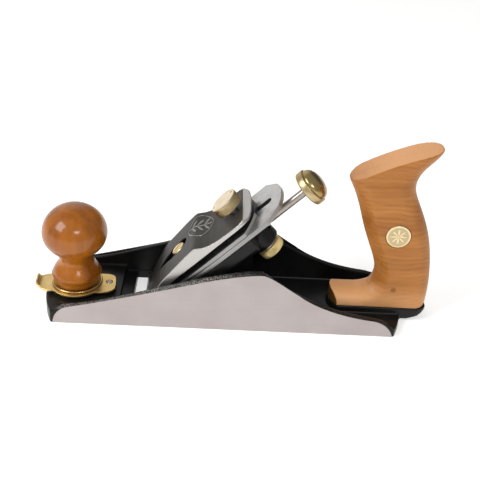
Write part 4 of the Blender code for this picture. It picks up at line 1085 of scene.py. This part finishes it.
def build_pivot_nut():
    """The knurled brass nut under the frog."""
    low, high, outer = -30.8, -24.5, 9.0
    profile = in_mm([(4.3, low), (8.2, low), (8.8, low + 0.3), (outer, low + 0.8), (outer, low + 2.2),
                     (outer, low + 3.6), (outer, high - 1.0), (8.8, high - 0.4), (8.3, high), (4.3, high)])
    knurled = ((low + 0.7) * MM, (high - 0.9) * MM, (outer - 0.05) * MM)
    nut = make("swing_nut", turned(profile, 320, 80, 0.25 * MM, knurled), on_bed(PIVOT_U))
    # its brighter brass paints the light falling on it from the right
    dress(smooth(nut, 40), "brass_nut_painted_light", "pivot_nut", "brass", "pivot_lock_nut")


# ---------------------------------------------------------------- tote

def tote_outline():
    """Side view of the handle, run on past its base, nose and top, in millimetres."""
    front = arc((58, 6.4), 14.0, 180, 90, 8) + [(78, 20.4)]
    front += bezier((92.5, 20.4), (99.5, 21.0), (104.8, 26.0), (104.9, 35.0), 14)
    front += bezier((104.9, 35.0), (104.4, 44.0), (96.4, 58.0), (91.4, 74.5), 14)
    front += bezier((91.4, 74.5), (88.0, 86.0), (85.5, 93.5), (80.0, 103.6), 10)
    front += [(80.0, 103.6), (72.0, 117.4)]
    front += arc((86, 156), 14.0, 180, 90, 8) + arc((126, 156), 14.0, 90, 0, 8)
    back = bezier((138.9, 127.0), (135.0, 117.6), (124.6, 114.0), (124.4, 101.5), 16)
    back += bezier((124.4, 101.5), (124.4, 92.0), (136.0, 78.0), (140.2, 55.0), 16)
    back += bezier((140.2, 55.0), (142.8, 42.0), (144.0, 28.0), (143.2, 16.0), 10)
    below = arc((128.6, -26), 14.0, 0, -90, 8) + arc((58, -26), 14.0, -90, -180, 8)
    return front + back + [(143.2, 16.0)] + below


def even_outline(outline, spacing):
    """The same closed outline with points at even steps along it."""
    corners = [Vector(p) for p in outline] + [Vector(outline[0])]
    lengths = [0.0]
    for a, b in zip(corners, corners[1:]):
        lengths.append(lengths[-1] + (b - a).length)
    count = round(lengths[-1] / spacing)
    points = []
    k = 0
    for i in range(count):
        target = lengths[-1] * i / count
        while lengths[k + 1] < target:
            k += 1
        share = (target - lengths[k]) / max(lengths[k + 1] - lengths[k], 1e-9)
        points.append(corners[k].lerp(corners[k + 1], share))
    return points


def shaped_handle(outline):
    """Extrude the outline across the plane and work its edges: a flat chamfer in front, a round behind."""
    shape = bmesh.new()
    outline = even_outline(outline, 1.6)
    count = len(outline)
    half, round_r, chamfer_size, oval_drop = TOTE_HALF, 9.5, 9.3, 12.5
    reach = 4
    moves = []
    for i in range(count):
        along = (outline[(i + reach) % count] - outline[i - reach]).normalized()
        moves.append((outline[i], Vector((along.y, -along.x))))
    steps = 10
    rows = []
    for level in range(2 * steps + 2):
        k = min(level, 2 * steps + 1 - level)
        angle = math.pi / 2 * k / steps
        y = half - round_r * (1 - math.cos(angle))
        round_depth = round_r * (1 - math.sin(angle))
        chamfer_depth = max(chamfer_size - (half - y) * 0.94, 0.9 * (1 - math.sin(angle)))
        oval_depth = oval_drop * (1 - math.sqrt(max(1 - (y / half) ** 2, 0.0)))
        row = []
        for here, move in moves:
            forward = step(0.2, 0.8, move.x) * step(16, 30, here.y)
            depth = round_depth + (chamfer_depth - round_depth) * forward * 0.75
            depth += (oval_depth - depth) * step(84, 100, here.y)
            x, z = here + move * depth
            row.append(shape.verts.new((x * MM, (-y if level <= steps else y) * MM, z * MM)))
        rows.append(row)
    skin(shape, rows)
    shape.faces.new(rows[0])
    shape.faces.new(rows[-1])
    return shape


def medal_place():
    """The medallion's seat on the near face of the handle, with its height axis pointing out."""
    return Matrix.Translation((MEDALLION.x, -TOTE_HALF * MM, MEDALLION.z)) @ spin(90, "X")


def build_tote():
    """The handle, cut off along its top, base, tail and nose, with its holes and marked areas: the top's end
    grain with painted light, painted light on the foot and painted shade on the nose.
    """
    tote = make("handle", shaped_handle(tote_outline()))
    top = [(50, 82.0)] + bezier((60, 90.5), (82, 106.8), (108, 121.6), (134.6, 128.0), 24)
    top += [(134.6, 128.0), (170, 135.0), (170, 190), (50, 190)]
    top_cut = solid("top_cut", top, -30, 30)
    base_cut = brick("base_cut", (30, -30, -60), (160, 30, TOTE_BASE_Z / MM))
    tail = [(136.0, 8.0), (141.4, 11.2), (143.4, 13.6), (144.6, 16.5), (150, 16.5), (150, 8.0)]
    tail_cut = solid("tail_cut", tail, -30, 30)
    nose_half = 14.5
    nose = [(30, -nose_half)] + bow(nose_half, 8.2, 75.0, -1) + [(30, nose_half)]
    nose_cut = solid("nose_cut", nose, -20, 60, "Z")
    cut(tote, top_cut, base_cut, tail_cut, nose_cut)
    soften(tote, 0.6 * MM, 6)
    seat = bar("seat", (MEDAL_RADIUS + GAP) / MM, -2.6, 10, medal_place(), 96)
    bolt_top = shift(MEDALLION.x, MEDALLION.z)
    bolt_way = bar("bolt_way", 3.5, -75, 12, bolt_top @ Matrix.Rotation(BOLT_LEAN, 4, "Y"), 32)
    nut_way = bar("nut_way", 5.5, -9, 11, bolt_top @ spin(90, "X"), 32)
    insert_way = bar("insert_way", 4.3, 5, 17.8, shift(middle("toe_insert").x), 32)
    cut(tote, bolt_way, nut_way, seat, insert_way)

    # the top face: the end grain's paler colour together with painted light where it faces up
    def top_end_grain_and_light(co, normal):
        return 0.85 * step(0.8, 0.93, normal.z) * step(84 * MM, 95 * MM, co.z)

    # painted light low on the handle, weaker towards the back
    def foot_painted_light(co, normal):
        return 0.85 * (1 - step(14 * MM, 30 * MM, co.z)) * (1 - 0.6 * step(90 * MM, 125 * MM, co.x))

    # painted shade low on the nose, which faces away from the light
    def nose_painted_shade(co, normal):
        low_down = 1 - step(20 * MM, 24 * MM, co.z)
        return step(0.45, 0.65, -normal.x) * low_down * (1 - step(0.5, 0.8, normal.z))

    for area in (top_end_grain_and_light, foot_painted_light, nose_painted_shade):
        mark(tote, area.__name__, area)
    dress(smooth(tote, 50), "tote", "plane_body", "tote_cherry", "tote")


def medal_height(r, angle):
    """Height of the medallion's face in millimetres, at a share r of its radius: hub, petals and rim."""
    reach = 0.2 + 0.52 * math.cos(4 * angle) ** 2
    hub = 0.22 * (1 - step(0.07, 0.12, r))
    petals = 0.22 * step(0.0, 0.12, reach - r) * step(0.1, 0.16, r)
    rim = 0.18 * step(0.82, 0.86, r) * (1 - step(0.95, 1.0, r))
    return 0.08 + petals + hub + rim - 0.12 * step(0.96, 1.0, r)


def build_medallion():
    """A brass disc with a raised rim and a plain eight-petal rosette."""
    shape = bmesh.new()
    rings, segments, back = 26, 96, -1.7
    angles = [math.tau * k / segments for k in range(segments)]

    def vertex(r, angle, height):
        reach = MEDAL_RADIUS * r
        return shape.verts.new((reach * math.cos(angle), reach * math.sin(angle), height * MM))

    centre = vertex(0.0, 0.0, medal_height(0.0, 0.0))
    rows = [[vertex(i / rings, angle, medal_height(i / rings, angle)) for angle in angles]
            for i in range(1, rings + 1)]
    rows.append([vertex(1.0, angle, back) for angle in angles])
    for k in range(segments):
        shape.faces.new((centre, rows[0][k], rows[0][(k + 1) % segments]))
    skin(shape, rows)
    shape.faces.new(rows[-1])
    medal = smooth(make("medal", shape, medal_place()), 50)
    face = -TOTE_HALF * MM
    mark(medal, "hollow", lambda co, normal: 1 - step(0.1 * MM, 0.26 * MM, face - co.y))
    dress(medal, "brass_medal", "plane_body", "brass", "medallion")


# ---------------------------------------------------------------- pieces kept from the CAD model

def dress_kept():
    """The pieces whose CAD shape is right as it is get their finished material."""
    kept = {"steel": ("knob_stud", "lock_knob_screw", "rod_collar", "rod_retainer", "pivot_barrel",
                      "pivot_washer", "adjuster_carriage", "tote_bolt", "tote_bolt_washer", "toe_screw"),
            "brass": ("knob_insert", "cap_iron_screw", "tote_barrel_nut", "toe_insert")}
    for finish, names in kept.items():
        for name in names:
            materials = frame["nodes"][name].data.materials
            materials.clear()
            materials.append(MATERIALS[finish])


# ---------------------------------------------------------------- floor, light and camera

def soft_box(name, direction, distance, width, height, power, target):
    """A rectangular lamp that faces the target from one direction."""
    lamp = bpy.data.lights.new(name, "AREA")
    lamp.shape = "RECTANGLE"
    lamp.size = width
    lamp.size_y = height
    lamp.energy = power
    obj = bpy.data.objects.new(name, lamp)
    bpy.context.scene.collection.objects.link(obj)
    towards = Vector(direction).normalized()
    obj.location = target + towards * distance
    obj.rotation_euler = towards.to_track_quat("Z", "Y").to_euler()


def sky_patch(tree, towards, edge, core, outside, inside):
    """Strength of the sky's light round one direction; edge and core are cosines of the angle from it."""
    angle = tree.nodes.new("ShaderNodeVectorMath")
    angle.operation = "DOT_PRODUCT"
    angle.inputs[1].default_value = Vector(towards).normalized()
    tree.links.new(tree.nodes.new("ShaderNodeTexCoord").outputs["Generated"], angle.inputs[0])
    strength = tree.nodes.new("ShaderNodeMapRange")
    for name, value in (("From Min", edge), ("From Max", core), ("To Min", outside), ("To Max", inside)):
        strength.inputs[name].default_value = value
    tree.links.new(angle.outputs["Value"], strength.inputs["Value"])
    return strength.outputs["Result"]


def build_stage(target):
    """The pale floor, two soft lamps and a sky that is darker on one side and brighter on another."""
    reach, thickness, clearance = 2.5, 0.01, 0.2 * MM
    floor = make("floor", box((-reach, -reach, -thickness), (reach, reach, -clearance)))
    floor.data.materials.append(floor_material())

    soft_box("key", (-0.70, -0.36, 0.61), 1.1, 0.5, 0.5, 6.0, target)
    soft_box("front", (0.18, -0.79, 0.59), 1.2, 0.34, 0.2, 2.6, target)

    world = bpy.data.worlds.new("studio")
    bpy.context.scene.world = world
    world.use_nodes = True
    tree = world.node_tree
    background = tree.nodes["Background"]
    total = tree.nodes.new("ShaderNodeMath")
    total.operation = "ADD"
    tree.links.new(sky_patch(tree, (0.55, 0.80, 0.12), 0.8, 0.97, 0.4, 0.08), total.inputs[0])
    tree.links.new(sky_patch(tree, (-0.35, 0.87, 0.35), 0.76, 0.95, 0.0, 0.5), total.inputs[1])
    tree.links.new(total.outputs["Value"], background.inputs["Strength"])
    background.inputs["Color"].default_value = (1.0, 0.995, 0.985, 1.0)


def build_camera():
    """The view from a little above, almost square to the near side, with the camera slightly rolled."""
    azimuth, elevation, roll = (math.radians(a) for a in (-1.0905, 30.6525, 3.1661))
    distance = 0.59759
    target = Vector((0.0104976, 0.0, 0.0523096))
    back = Vector((math.sin(azimuth) * math.cos(elevation), -math.cos(azimuth) * math.cos(elevation),
                   math.sin(elevation)))
    level = Vector((math.cos(azimuth), math.sin(azimuth), 0.0))
    up = back.cross(level)
    right = math.cos(roll) * level + math.sin(roll) * up
    above = -math.sin(roll) * level + math.cos(roll) * up
    camera = bpy.data.cameras.new("camera")
    camera.lens = 65.38
    camera.sensor_width = 36.0
    camera.clip_start = 0.01
    obj = bpy.data.objects.new("camera", camera)
    bpy.context.scene.collection.objects.link(obj)
    matrix = Matrix((right, above, back)).transposed().to_4x4()
    matrix.translation = target + back * distance
    obj.matrix_world = matrix
    bpy.context.scene.camera = obj
    return target


for build in (build_casting, build_shoe, build_knob, build_ferrule, build_lever_washer, build_lever,
              build_lever_pin, build_iron, build_cap_iron, build_lever_cap, build_ornament, build_cap_screw,
              build_lock_knob, build_adjuster, build_pivot_nut, build_tote, build_medallion, dress_kept):
    build()
build_stage(build_camera())
bpy.context.scene.view_settings.view_transform = "Standard"
